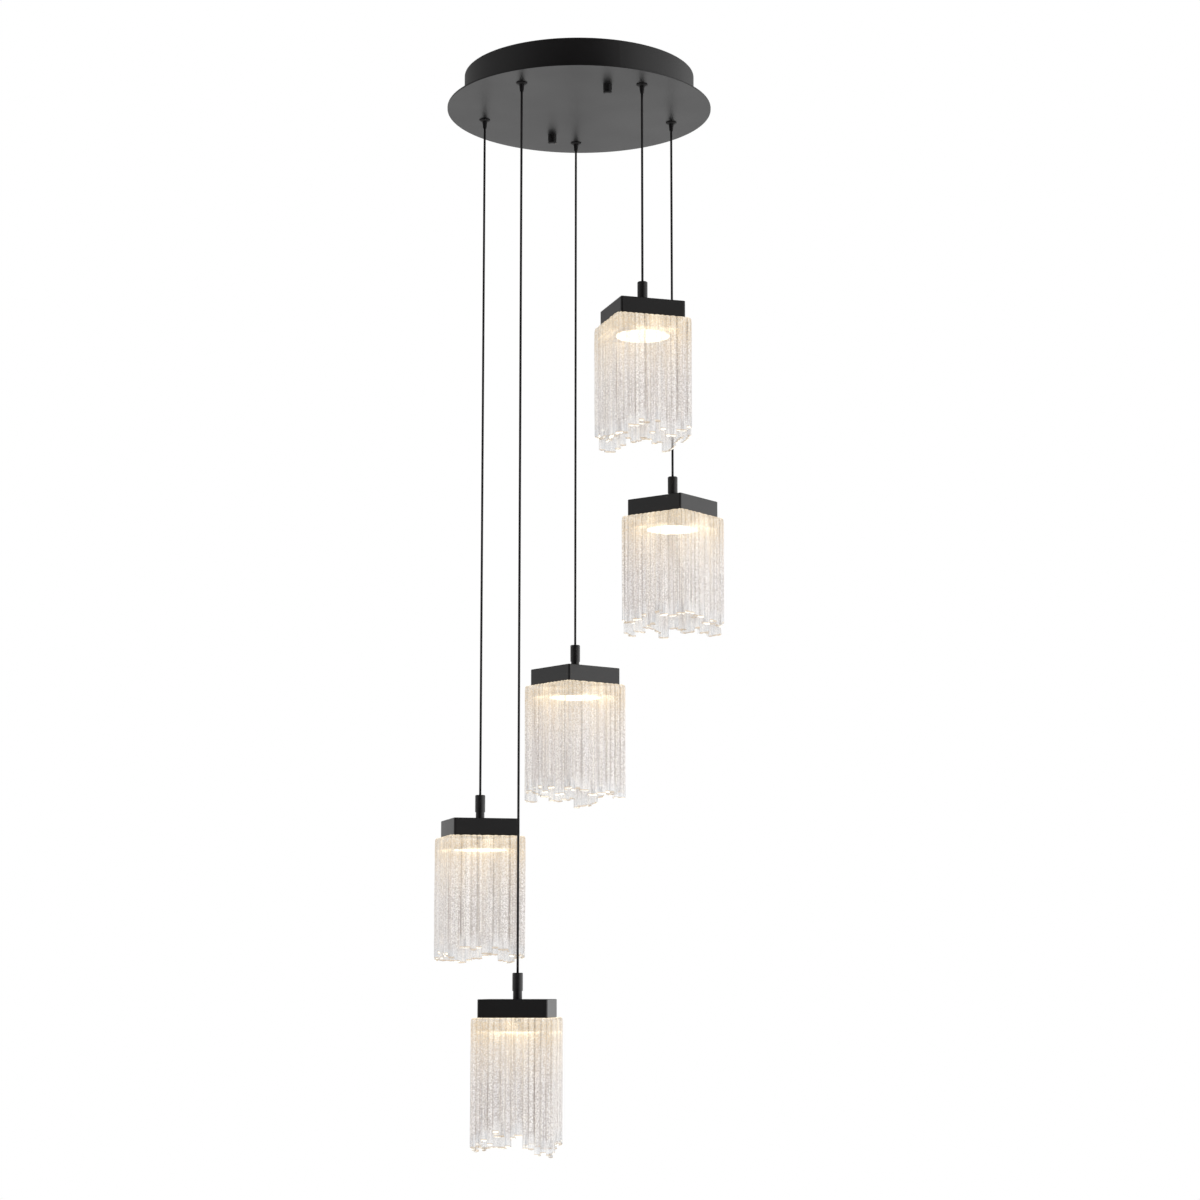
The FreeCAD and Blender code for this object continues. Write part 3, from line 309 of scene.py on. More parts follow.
def glass_colour(n, glass):
    """Pale warm grey with streaks, bubbles with painted glints, painted shade and highlight lines at the valleys,
    painted lamp light near the lamp, bars of painted reflection at the feet and golden rims of painted glow at
    the ends.
    """
    tone = n.attribute("tone")
    cloud = n.noise(22, 2)
    fine = n.noise(1.0, 1, 0.5, where=n.stretched((620, 620, 6)))

    # the ground differs a little from rod to rod, and near the lamp it is warmed by painted lamp light
    colour = n.ramp(cloud, (0.35, (0.90, 0.865, 0.865)), (0.65, (0.99, 0.955, 0.95)))
    colour = n.mix(n.span(tone, 0.0, 1.0, 0.0, 0.60), colour, (1.0, 0.98, 0.965))
    colour = n.mix(n.span(tone, 0.0, -1.0, 0.0, 0.45), colour, (0.56, 0.56, 0.60))
    colour = n.mix(n.math("MULTIPLY", glass.near_lamp, 0.40), colour, (1.0, 0.86, 0.62))

    # dark and pale streaks down the rods, and beside each valley a dark line of painted shade and a pale line of
    # painted highlight
    colour = n.mix(n.span(fine, 0.40, 0.32, 0.0, 0.75), colour, (0.30, 0.25, 0.23))
    colour = n.mix(n.span(fine, 0.60, 0.66, 0.0, 1.0), colour, (1.0, 0.97, 0.90))
    colour = n.mix(glass.dark, colour, (0.17, 0.13, 0.115))
    colour = n.mix(glass.pale, colour, (1.0, 0.98, 0.92))

    # bubbles: dark rims, turned golden near the lamp by painted lamp light, and bright points that are painted
    # glints
    rims = n.ramp(glass.near_lamp, (0.0, (0.36, 0.31, 0.28)), (0.8, (0.80, 0.62, 0.40)))
    colour = n.mix(n.span(glass.bubbles, 0.45, 0.61, 0.0, 0.62), colour, rims)
    colour = n.mix(n.span(glass.bubble_glints, 0.25, 0.14, 0.0, 0.9), colour, (1.0, 0.99, 0.96))

    # bars of painted reflection, dark, blue-grey and white, in the clear glass at the feet, and golden rims of
    # painted glow round the ends
    bars = n.ramp(glass.column, (0.42, (0.20, 0.22, 0.26)), (0.48, (0.60, 0.66, 0.74)), (0.53, (0.98, 0.99, 1.0)))
    colour = n.mix(n.math("MULTIPLY", glass.clear, 0.70), colour, bars)
    golden = n.ramp(glass.end, (0.03, 0.0), (0.18, 0.75), (0.45, 0.5), (0.7, 0.0))
    return n.mix(golden, colour, (0.72, 0.50, 0.26))


def glass_cover(n, glass):
    """Cloudy where it is full of bubbles, see-through at the feet and on the inner faces."""
    by_column = n.span(glass.column, 0.42, 0.58, -0.11, 0.11)
    dense = n.math("ADD", n.span(glass.grain, 0.35, 0.65, 0.54, 0.76), by_column)
    outside = n.math("SUBTRACT", dense, n.math("MULTIPLY", glass.clear, 0.16))
    cover = n.math("MULTIPLY", outside, n.span(glass.inside, 0.0, 1.0, 1.0, 0.12))
    # the glass is made less see-through along the painted shade and highlight lines, under the deck's painted
    # glow and at the glowing ends
    lines = n.math("MULTIPLY", n.math("MAXIMUM", glass.dark, glass.pale), 0.9)
    cover = n.math("MAXIMUM", n.math("MAXIMUM", cover, lines), n.math("MULTIPLY", glass.deck, 0.45))
    return n.math("MAXIMUM", cover, n.span(glass.end, 0.03, 0.3, 0.0, 0.92))


def glass_glow(n, glass):
    """Strength and colour of the painted glow: emission on the glass that stands in for the light it carries from
    its lamp.
    """
    # painted glow: a line level with the lamp and streaks down from it, only as wide as the lamp
    line = n.ramp(n.span(glass.height, -0.026, -0.014),
                  (0.30, 0.0), (0.52, 0.35), (0.66, 1.0), (0.74, 1.0), (0.84, 0.0))
    line = n.math("MULTIPLY", line, n.span(glass.inside, 0.0, 1.0, 0.25, 2.0))
    streaks = n.ramp(n.span(glass.height, -0.06, -0.012), (0.0, 0.0), (0.6, 0.10), (0.84, 0.34), (1.0, 0.0))
    streaks = n.math("MULTIPLY", streaks, n.span(glass.column, 0.46, 0.60, 0.0, 1.0))
    lamp_wide = n.span(glass.across, 0.022, 0.035, 1.0, 0.0)
    level = n.math("MULTIPLY", n.math("ADD", line, streaks), lamp_wide)

    # painted glow along the stem, the deck, the top edge and the rods' ends, over a little everywhere
    above_lamp = n.span(glass.height, -0.018, -0.014, 0.0, 1.0)
    stem = n.math("MULTIPLY", n.span(glass.across, 0.005, 0.011, 0.22, 0.0), above_lamp)
    lit = n.math("ADD", n.math("ADD", level, stem), n.span(glass.near_lamp, 0.0, 1.0, 0.115, 0.055))
    lit = n.math("ADD", lit, n.math("MULTIPLY", glass.deck, 0.42))
    lit = n.math("ADD", lit, n.span(glass.height, -0.0016, -0.0004, 0.0, 0.55))
    lit = n.math("ADD", lit, n.span(glass.end, 0.35, 0.9, 0.0, 0.9))
    # the bubbles' painted glints glow more
    strength = n.math("MULTIPLY", lit, n.span(glass.bubble_glints, 0.1, 0.6, 1.6, 0.75))

    warm = n.ramp(glass.near_lamp, (0.0, (1.0, 0.95, 0.90)), (0.6, (1.0, 0.84, 0.58)))
    return strength, n.mix(n.span(glass.end, 0.0, 0.5), warm, (1.0, 0.95, 0.80))


def bubble_glass():
    """Cast glass crowded with fine bubbles, clear towards the rods' feet, with a painted glow standing in for its
    lamp's light inside.
    """
    n = Nodes("bubble_glass")
    glass = glass_signals(n)
    n.into(glass_colour(n, glass), "Base Color")
    n.into(glass_cover(n, glass), "Alpha")
    strength, tint = glass_glow(n, glass)
    n.into(strength, "Emission Strength")
    n.into(tint, "Emission Color")
    n.into(n.span(glass.grain, 0.3, 0.7, 0.12, 0.26), "Roughness")
    n.bump(n.math("ADD", glass.bubbles, glass.grain), 0.00014, 0.5)
    n.set(Specular_IOR_Level=0.5)
    n.material.cycles.emission_sampling = "NONE"
    return n.material


MATERIALS = {
    "painted_black": black_paint(),
    "zinc_steel": zinc(),
    "black_nylon": nylon(),
    "black_cord": jacket("black_cord", (0.0045, 0.004, 0.0045), (0.009, 0.008, 0.0085)),
    "lead_red": jacket("lead_red", (0.42, 0.035, 0.03), (0.58, 0.06, 0.05)),
    "earth_green": jacket("earth_green", (0.06, 0.33, 0.08), (0.12, 0.45, 0.13)),
    "driver_white": moulded("driver_white", (0.74, 0.74, 0.72), (0.82, 0.82, 0.80)),
    "terminal_white": moulded("terminal_white", (0.78, 0.78, 0.75), (0.86, 0.86, 0.84), 0.38),
    "bubble_glass": bubble_glass(),
    "led_aluminium": spun_aluminium(),
    "led_board_white": moulded("led_board_white", (0.84, 0.84, 0.80), (0.9, 0.9, 0.86), 0.3),
    "opal_diffuser": opal(),
}

SLOT_OF = {entry["node"]: entry["material_slot"] for entry in frame["record"]["subparts"]}
for node_name, node_object in frame["nodes"].items():
    finish = MATERIALS[SLOT_OF[node_name]]
    if not node_object.material_slots:
        node_object.data.materials.append(finish)
    for material_slot in node_object.material_slots:
        material_slot.material = finish


def new_piece(name, mesh, slot, body, node=None, where=None):
    """Links a mesh as one named piece on its body, in its finish, standing for a CAD node."""
    piece = bpy.data.objects.new(name, mesh)
    bpy.context.collection.objects.link(piece)
    if where is not None:
        piece.matrix_world = where
    mesh.materials.append(MATERIALS[slot])
    mesh.shade_smooth()
    bpy.context.view_layer.update()
    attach(piece, body)
    if node:
        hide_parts(node)
    return piece


# ---------------------------------------------------------------- cords
ROUTE_SHARES = (0, 0.25, 0.5, 0.75, 1)
MOUTH_PINCH = 0.93
CORD_SIDES = 16
LEAD_SIDES = 12


def spline_points(controls, resolution=12):
    """Points along the smooth line that a route's control points give."""
    data = bpy.data.curves.new("route", "CURVE")
    data.dimensions = "3D"
    spline = data.splines.new("NURBS")
    spline.points.add(len(controls) - 1)
    for point, place in zip(spline.points, controls):
        point.co = (*place, 1)
    spline.order_u = 3
    spline.use_endpoint_u = True
    spline.resolution_u = resolution
    carrier = bpy.data.objects.new("route", data)
    line = bpy.data.meshes.new_from_object(carrier)
    points = [vertex.co.copy() for vertex in line.vertices]
    bpy.data.objects.remove(carrier)
    bpy.data.curves.remove(data)
    bpy.data.meshes.remove(line)
    return points


def tube_mesh(name, points, radius, sides, pinch=1.0):
    """A closed round tube along points, its first ring drawn in by a share."""
    vertices, faces = [], []
    tangent = (points[1] - points[0]).normalized()
    across = tangent.orthogonal().normalized()
    for index, point in enumerate(points):
        ahead = points[min(index + 1, len(points) - 1)] - points[max(index - 1, 0)]
        turn = tangent.rotation_difference(ahead.normalized())
        across = turn @ across
        tangent = ahead.normalized()
        other = tangent.cross(across)
        reach = radius if index else radius * pinch
        for step in range(sides):
            angle = math.tau * step / sides
            vertices.append(point + (across * math.cos(angle) + other * math.sin(angle)) * reach)
    for ring in range(len(points) - 1):
        for step in range(sides):
            a = ring * sides + step
            b = ring * sides + (step + 1) % sides
            faces.append((a, b, b + sides, a + sides))
    faces.append(tuple(reversed(range(sides))))
    last = (len(points) - 1) * sides
    faces.append(tuple(range(last, last + sides)))
    mesh = bpy.data.meshes.new(name)
    mesh.from_pydata(vertices, [], faces)
    mesh.update()
    return mesh


for number in PENDANTS:
    top = cord_spot(number) + Vector((0, 0, CORD_PIVOT))
    length = CORD_LENGTH[number]
    line = spline_points([top - Vector((0, 0, length * share)) for share in ROUTE_SHARES])
    # its first ring is drawn in, so that the swinging cord stays clear of its gland's mouth
    cord_mesh = tube_mesh("cord", line, CORD_DIAMETER / 2, CORD_SIDES, MOUTH_PINCH)
    cord = new_piece(f"hung_cord_{number}", cord_mesh, "black_cord", f"hanging_cord_{number}", f"cord_{number}")
    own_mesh(cord)

# ---------------------------------------------------------------- wiring inside the canopy
PLATE_TOP = -CANOPY_HEIGHT + PLATE_THICKNESS
BLOCK_TOP = PLATE_TOP + 16 * MM
POLE_LINE = -30 * MM
POLE_PITCH = 12 * MM
POLE_ORDER = {1: 2, 2: 0, 3: -2, 4: -1, 5: 1}
TAIL_RISE = 26 * MM
TAIL_FALL = 15.5 * MM
TAIL_START = -37.5 * MM
TAIL_CREST = -11.5 * MM
TAIL_GAP = 0.6 * MM
LEAD_DIAMETER = 2.2 * MM
# In millimetres: the driver leads' plan on their +x side and their height, and the earth lead's route.
DRIVER_LEAD_PLAN = [(22, 37), (22, 21.5), (26.96, 6), (12.2, -9.5), (6, -17.56), (6, -25)]
DRIVER_LEAD_HEIGHT = -35
EARTH_ROUTE = [(62, -58.5, -41.9), (62, -49.9, -41.9), (66, -37.9, -33),
               (64, -27, -15), (62, -18, -6), (62, -13, -6)]


def inner_lead(name, route, diameter, slot, node):
    """A lead from one fitting to another inside the canopy, on its route's smooth line."""
    line = spline_points([Vector(point) for point in route])
    lead = new_piece(name, tube_mesh("lead", line, diameter / 2, LEAD_SIDES), slot, "canopy", node)


for number in PENDANTS:
    foot = cord_spot(number)
    pole = Vector((POLE_ORDER[number] * POLE_PITCH, POLE_LINE, 0))
    span = (pole - foot).length
    heading = (pole - foot).normalized()
    # up out of the gland, over to the terminal and down into it
    stations = [(0, CORD_PIVOT + TAIL_GAP), (0, TAIL_START + 0.3 * TAIL_RISE),
                (0.5 * TAIL_RISE, TAIL_START + 0.85 * TAIL_RISE), (0.3 * span, TAIL_CREST),
                (0.65 * span, TAIL_CREST - 0.5 * MM), (span - 0.6 * TAIL_FALL, BLOCK_TOP + 0.8 * TAIL_FALL),
                (span, BLOCK_TOP + 0.4 * TAIL_FALL), (span, BLOCK_TOP)]
    tail = [foot + heading * along + Vector((0, 0, up)) for along, up in stations]
    inner_lead(f"cord_tail_{number}", tail, CORD_DIAMETER, "black_cord", "cord_tails")

for side in (-1, 1):
    lead = [(side * across * MM, along * MM, DRIVER_LEAD_HEIGHT * MM) for across, along in DRIVER_LEAD_PLAN]
    inner_lead(f"driver_lead_{side + 2}", lead, LEAD_DIAMETER, "lead_red", "driver_leads")

earth = [(x * MM, y * MM, z * MM) for x, y, z in EARTH_ROUTE]
inner_lead("earth_lead", earth, LEAD_DIAMETER, "earth_green", "ground_lead")

# ---------------------------------------------------------------- cast shades, in millimetres
GLASS_HALF = 51.5
GLASS_LENGTH = 165.0
CORNER_RADIUS = 9.0
WALL = 7.0
DECK = 6.0
STEM_HOLE = 4.0
INNER_DEPTH = 4.5
FLAT = GLASS_HALF - CORNER_RADIUS
CORNER_RODS = 2
POINTS_PER_ROD = 8
VALLEY_DEPTH = 2.1
UNEVENNESS = 0.35
WANDER_ACROSS = 0.05
WANDER_ALONG = 0.025
WANDER_BETWEEN = 7.3
WANDER_SEED = 11
WALL_SEED = 100
INNER_SEED = 500
FULL_BULGE_WIDTH = 7.0
BULGE_POWER = 0.7
TOP_WAVE = 0.5
FOOT_TUCK = 0.7
END_DOME = 0.9

# Each side's groups of rods as (relative width, rise of the feet above the longest tip).
FOOT_BARS = {
    1: [
        [(1, 9.0), (2, 20.0), (1, 28.0), (1, 24.0), (1, 11.0), (1, 26.0), (1, 16.0), (2, 9.0), (2, 16.0)],
        [(1, 13.0), (3, 10.0), (2, 17.0), (2, 14.0), (4, 9.0)],
        [(1, 22.0), (1, 19.0), (2, 25.0), (1, 22.0), (1, 18.0), (1, 23.0), (1, 15.0), (1, 10.0), (2, 4.0),
         (1, 8.0)],
        [(1, 21.0), (2, 18.0), (3, 14.0), (2, 8.0), (2, 10.0), (2, 8.0)],
    ],
    2: [
        [(3, 30.0), (3, 26.0), (2, 18.0), (2, 24.0), (2, 20.0)],
        [(1, 10.0), (2, 8.0), (2, 14.0), (1, 21.0), (3, 16.0), (3, 23.0)],
        [(1, 12.0), (3, 21.0), (2, 23.0), (3, 14.0), (3, 8.0)],
        [(2, 22.0), (2, 25.0), (1, 29.0), (2, 15.0), (1, 33.0), (2, 27.0), (2, 24.0)],
    ],
    3: [
        [(2, 21.0), (2, 19.0), (2, 13.0), (2, 17.0), (2, 20.0), (2, 11.0)],
        [(2, 22.0), (2, 21.0), (2, 20.0), (2, 17.0), (2, 11.0), (2, 6.0)],
        [(1, 6.0), (3, 15.0), (3, 13.0), (2, 18.0), (1, 20.0), (2, 10.0)],
        [(2, 22.0), (2, 19.0), (1, 27.0), (2, 20.0), (2, 25.0), (3, 15.0)],
    ],
    4: [
        [(1, 6.0), (2, 23.0), (1, 20.0), (1, 23.0), (2, 14.0), (1, 23.0), (2, 20.0), (2, 11.0)],
        [(3, 10.0), (2, 14.0), (3, 9.0), (4, 4.0)],
        [(1, 6.0), (1, 13.0), (2, 14.0), (2, 11.0), (1, 9.0), (2, 5.0), (3, 8.0)],
        [(3, 8.0), (2, 16.0), (3, 10.0), (4, 14.0)],
    ],
    5: [
        [(1, 10.0), (1, 21.0), (1, 15.0), (1, 29.0), (1, 24.0), (1, 12.0), (2, 23.0), (2, 9.0), (2, 3.0)],
        [(3, 4.0), (2, 15.0), (4, 11.0), (3, 13.0)],
        [(3, 5.0), (3, 8.0), (2, 18.0), (2, 5.0), (2, 3.0)],
        [(4, 6.0), (3, 12.0), (2, 5.0), (3, 9.0)],
    ],
}
# The rise of the corner after each side.
CORNER_RISE = {
    1: [23.0, 9.0, 22.0, 9.0],
    2: [23.0, 12.0, 23.0, 26.0],
    3: [11.0, 6.0, 10.0, 22.0],
    4: [10.0, 4.0, 9.0, 8.0],
    5: [0.0, 9.0, 3.0, 10.0],
}
# The shorter rods on the inside of each side, as their ends above the longest tip.
INNER_RODS = [
    [33.0, 24.0, 58.0, 47.0, 45.0],
    [24.0, 52.0, 33.0, 21.0, 36.0],
    [48.0, 26.0, 40.0, 70.0, 23.0],
    [30.0, 36.0, 58.0, 48.0, 47.0],
]

# The wall's rings from the top: the rounded edge as (height, how far it is drawn in), then wide steps
# down to where the feet begin, then narrow ones.
TOP_ROUNDING = [(0.0, 2.8), (-0.8, 1.2), (-2.4, 0.35)]
WIDE_STEP = 7.8
WIDE_STEPS = 15
NARROW_STEP = 2.5
DECK_LEVEL = len(TOP_ROUNDING)
LEVELS = [height for height, _ in TOP_ROUNDING] + [-DECK - WIDE_STEP * step for step in range(WIDE_STEPS)]
while LEVELS[-1] > -GLASS_LENGTH + 1:
    LEVELS.append(LEVELS[-1] - NARROW_STEP)
LEVELS[-1] = -GLASS_LENGTH

# Without a seed, the noise would start from the clock.
noise.seed_set(WANDER_SEED)


def marked_mesh(name, vertices, faces, marks):
    """A mesh with its marks as point attributes; a mark that a point doesn't have is 0."""
    mesh = bpy.data.meshes.new(name)
    mesh.from_pydata(vertices, [], faces)
    for mark in MARKS:
        layer = mesh.attributes.new(mark, "FLOAT", "POINT")
        layer.data.foreach_set("value", [entry.get(mark, 0.0) for entry in marks])
    mesh.validate()
    mesh.update()
    return mesh


def rod_plan(number, rng):
    """Every rod round a shade in turn: where it starts and ends, its bulge and the rise of its foot."""
    rods = []
    for quarter in range(4):
        bars = FOOT_BARS[number][quarter]
        unit = 2 * FLAT / sum(count for count, _ in bars)
        at = -FLAT
        for count, rise in bars:
            pieces = max(1, round(count * rng.uniform(0.62, 0.95)))
            shares = [rng.uniform(0.6, 1.4) for _ in range(pieces)]
            for share in shares:
                width = unit * count * share / sum(shares)
                rods.append({"quarter": quarter, "kind": "side", "from": at, "to": at + width,
                             "bulge": rng.uniform(0.7, 1.9) * min(1.0, width / FULL_BULGE_WIDTH),
                             "rise": rise + rng.uniform(-0.6, 1.2)})
                at += width
        for part in range(CORNER_RODS):
            low = 90 * part / CORNER_RODS
            rods.append({"quarter": quarter, "kind": "corner", "from": low, "to": low + 90 / CORNER_RODS,
                         "bulge": rng.uniform(0.8, 1.4),
                         "rise": CORNER_RISE[number][quarter] + rng.uniform(0.0, 1.5)})
    # each rod's painted shade line and painted highlight line at its valley, the step where the highlight lies,
    # its own tone, and the strength of the painted glow on its end
    for rod in rods:
        rod["dark"] = rng.choice((0.3, 0.6, 0.9, 1.0))
        rod["pale"] = rng.choice((0.0, 0.5, 0.9, 1.0))
        rod["pale_step"] = rng.choice((2, 3, POINTS_PER_ROD - 2))
        rod["tone"] = rng.uniform(-1, 1)
        rod["end"] = rng.choice((0.35, 0.7, 1.0, 1.0))
    return rods


def outline_point(rod, share):
    """A point on a rod's outside, its outward way, and the matching point inside the wall."""
    along = rod["from"] + (rod["to"] - rod["from"]) * share
    swell = rod["bulge"] * math.sin(math.pi * share) ** BULGE_POWER
    if rod["kind"] == "side":
        out = Vector((1, 0, 0))
        base = Vector((GLASS_HALF - VALLEY_DEPTH, along, 0))
        inner = Vector((GLASS_HALF - WALL, along, 0))
    else:
        angle = math.radians(along)
        out = Vector((math.cos(angle), math.sin(angle), 0))
        base = Vector((FLAT, FLAT, 0)) + out * (CORNER_RADIUS - VALLEY_DEPTH)
        inner = Vector((FLAT, FLAT, 0)) + out * (CORNER_RADIUS - WALL)
    turn = Matrix.Rotation(math.radians(90 * rod["quarter"]), 3, "Z")
    return turn @ (base + out * swell), turn @ out, turn @ inner


def wander(point, seed):
    """The small unevenness of a casting."""
    along = point.z * WANDER_ALONG + seed * WANDER_BETWEEN
    spot = Vector((point.x * WANDER_ACROSS, point.y * WANDER_ACROSS, along))
    return noise.noise_vector(spot) * UNEVENNESS


def shade_mesh(number):
    """A shade's wall and deck as one closed mesh, marked for the glass."""
    rng = random.Random(WALL_SEED + number)
    rods = rod_plan(number, rng)
    count = len(rods)
    for rod in rods:
        depth = GLASS_LENGTH - max(rod["rise"], 0.0)
        rod["foot"] = min(range(len(LEVELS)), key=lambda k: abs(LEVELS[k] + depth))
    vertices, faces, marks = [], [], []
    index_of = {}

    def vertex(key, place, foot, **mark):
        """The index of the vertex called key, which is made when it is first asked for."""
        if key not in index_of:
            index_of[key] = len(vertices)
            vertices.append(place * MM)
            marks.append({"foot": foot * MM, **mark})
        return index_of[key]

    def outer(rod_index, step, level):
        """The wall's outside. A rod's last step is the next rod's first."""
        rod = rods[rod_index]
        if step == POINTS_PER_ROD:
            rod_index, step, rod = (rod_index + 1) % count, 0, rods[(rod_index + 1) % count]
        key = ("outer", rod_index, step, level)
        if key in index_of:
            return index_of[key]
        point, out, _ = outline_point(rod, step / POINTS_PER_ROD)
        z = LEVELS[level]
        foot = min(rod["foot"], rods[rod_index - 1]["foot"]) if step == 0 else rod["foot"]
        above = z - LEVELS[foot]
        if step and level == rod["foot"]:
            point = point - out * FOOT_TUCK * rod["bulge"] * math.sin(math.pi * step / POINTS_PER_ROD)
        if level < DECK_LEVEL:
            point = point - out * TOP_ROUNDING[level][1]
        place = Vector((point.x, point.y, z))
        place += wander(place, number)
        place.x = max(-GLASS_HALF, min(GLASS_HALF, place.x))
        place.y = max(-GLASS_HALF, min(GLASS_HALF, place.y))
        place.z = z
        if level == 0:
            place.z = -TOP_WAVE * (1 - math.sin(math.pi * step / POINTS_PER_ROD))
        # the valley's dark line of painted shade, the pale line of painted highlight at one step, and the painted
        # glow on the rod's end face
        dark = {0: rod["dark"], 1: 0.6 * rod["dark"], POINTS_PER_ROD - 1: 0.45 * rod["dark"]}.get(step, 0.0)
        pale = rod["pale"] if step == rod["pale_step"] else 0.0
        end = rod["end"] if level == rod["foot"] else 0.0
        return vertex(key, place, max(above, 0.0), dark=dark, pale=pale, tone=rod["tone"], end=end)

    def inner(rod_index, level):
        """The wall's inside, opposite the valley before a rod."""
        rod_index %= count
        _, _, point = outline_point(rods[rod_index], 0.0)
        z = LEVELS[level]
        foot = min(rods[rod_index]["foot"], rods[rod_index - 1]["foot"])
        # on the deck's underside, the mark for its painted glow
        return vertex(("inner", rod_index, level), Vector((point.x, point.y, z)), max(z - LEVELS[foot], 0.0),
                      inside=1.0, deck=1.0 if level == DECK_LEVEL else 0.0)

    def hole(rod_index, level):
        """The stem's hole through the deck."""
        rod_index %= count
        _, _, point = outline_point(rods[rod_index], 0.0)
        flat = Vector((point.x, point.y, 0)).normalized() * STEM_HOLE
        # on the deck's underside, the mark for its painted glow
        return vertex(("hole", rod_index, level), Vector((flat.x, flat.y, LEVELS[level])), 100.0, inside=0.6,
                      deck=1.0 if level == DECK_LEVEL else 0.0)

    for index, rod in enumerate(rods):
        foot = rod["foot"]
        # the top, the hole through the deck and the deck's underside
        ring_top = [outer(index, step, 0) for step in range(POINTS_PER_ROD + 1)]
        faces.append(tuple([hole(index, 0)] + ring_top + [hole(index + 1, 0)]))
        faces.append((hole(index, 0), hole(index + 1, 0), hole(index + 1, DECK_LEVEL), hole(index, DECK_LEVEL)))
        faces.append((hole(index, DECK_LEVEL), hole(index + 1, DECK_LEVEL),
                      inner(index + 1, DECK_LEVEL), inner(index, DECK_LEVEL)))
        # the rod's outside and the wall's inside
        for level in range(foot):
            for step in range(POINTS_PER_ROD):
                faces.append((outer(index, step, level), outer(index, step, level + 1),
                              outer(index, step + 1, level + 1), outer(index, step + 1, level)))
            if level >= DECK_LEVEL:
                faces.append((inner(index, level), inner(index + 1, level),
                              inner(index + 1, level + 1), inner(index, level + 1)))
        # the rod's end
        ring = [outer(index, step, foot) for step in range(POINTS_PER_ROD + 1)]
        ring += [inner(index + 1, foot), inner(index, foot)]
        middle = sum((vertices[i] / MM for i in ring), Vector()) / len(ring)
        middle.z = max(LEVELS[foot] - END_DOME, -GLASS_LENGTH)
        hub = vertex(("hub", index), middle, 0.0, end=rod["end"])
        for first, second in zip(ring, ring[1:] + ring[:1]):
            faces.append((second, first, hub))
        # the step to the next rod, where one of the two is longer
        following = (index + 1) % count
        other = rods[following]["foot"]
        for level in range(min(foot, other), max(foot, other)):
            corner = (outer(following, 0, level), outer(following, 0, level + 1),
                      inner(following, level + 1), inner(following, level))
            faces.append(corner if foot > other else tuple(reversed(corner)))
    return marked_mesh("shade", vertices, faces, marks)


def inner_rod_mesh(seed):
    """The shorter rods inside the wall, each a closed half-round bar with a domed foot."""
    rng = random.Random(INNER_SEED + seed)
    vertices, faces, marks = [], [], []
    inside = GLASS_HALF - WALL
    crest = inside - INNER_DEPTH
    profile_steps = 8
    overlap = 0.5
    dome = 0.8
    clear_above_end = 6
    for quarter in range(4):
        turn = Matrix.Rotation(math.radians(90 * quarter), 3, "Z")
        rises = INNER_RODS[quarter]
        pitch = 2 * crest / len(rises)
        for index, rise in enumerate(rises):
            centre = -crest + pitch * (index + 0.5)
            half = pitch / 2 * rng.uniform(0.55, 0.85)
            # glint: a painted glint that whitens the rod's tone and gives its end a painted glow
            glint = rng.choice((0.0, 0.3, 0.8, 1.0))
            bottom = -GLASS_LENGTH + rise + rng.uniform(-2, 2)
            stations = [-DECK + 0.4, -40.0, -70.0, bottom + 14, bottom + 6, bottom + 1.2, bottom]
            rings = []
            for station in stations:
                shrink = 0.86 if station == bottom else 1.0
                ring = []
                for step in range(profile_steps + 1):
                    angle = math.pi * step / profile_steps
                    place = Vector((inside + overlap - math.sin(angle) * (INNER_DEPTH + overlap) * shrink,
                                    centre + math.cos(angle) * half * shrink, station))
                    place += wander(place, seed + 3) * (1 if 0 < step < profile_steps else 0)
                    ring.append(len(vertices))
                    vertices.append((turn @ place) * MM)
                    edge = step in (0, profile_steps)
                    # a pale line of painted highlight beside each edge
                    marks.append({"foot": (station - bottom + clear_above_end) * MM, "tone": glint,
                                  "inside": 1.0 if edge else 0.6,
                                  "pale": 0.5 if step in (1, profile_steps - 1) else 0.0,
                                  "end": glint if station == bottom else 0.0})
                rings.append(ring)
            for upper, lower in zip(rings, rings[1:]):
                size = len(upper)
                for step in range(size):
                    following = (step + 1) % size
                    faces.append((upper[step], upper[following], lower[following], lower[step]))
            faces.append(tuple(reversed(rings[0])))
            hub = len(vertices)
            vertices.append((turn @ Vector((inside - INNER_DEPTH / 2, centre, bottom - dome))) * MM)
            marks.append({"foot": clear_above_end * MM, "end": glint})
            low_ring = rings[-1]
            for step in range(len(low_ring)):
                faces.append((low_ring[step], low_ring[(step + 1) % len(low_ring)], hub))
    return marked_mesh("inner_rods", vertices, faces, marks)


for number in PENDANTS:
    spot = cord_spot(number) + Vector((0, 0, cap_top(number) - CAP_HEIGHT))
    where = Matrix.Translation(spot) @ Matrix.Rotation(math.radians(PENDANT_TURN[number]), 4, "Z")
    mesh = shade_mesh(number)
    body = f"pendant_{number}"
    new_piece(f"shade_{number}", mesh, "bubble_glass", body, f"glass_{number}", where)
    new_piece(f"shade_rods_{number}", inner_rod_mesh(number), "bubble_glass", body, None, where)


# ---------------------------------------------------------------- floor, light, background
FLOOR_REACH = 9
FLOOR_DEPTH = -4
FLOOR_GLOW = 0.58
LAMPS = {
    "key": {"place": (3.0, -3.2, 0.6), "size": 2.0, "power": 77},
    "fill": {"place": (1.5, 3.5, -0.2), "size": 2.5, "power": 42},
}
LAMP_AIM = (0, 0, -0.7)
# The ways that the studio's parts lie in.
TOWARD_CAMERA = (0.94, -0.34, 0.0)
RIGHT_OF_CAMERA = (0.34, 0.94, 0.0)
AWAY = (-0.77, 0.0, 0.0)
UP = (0.0, 0.0, 1.0)


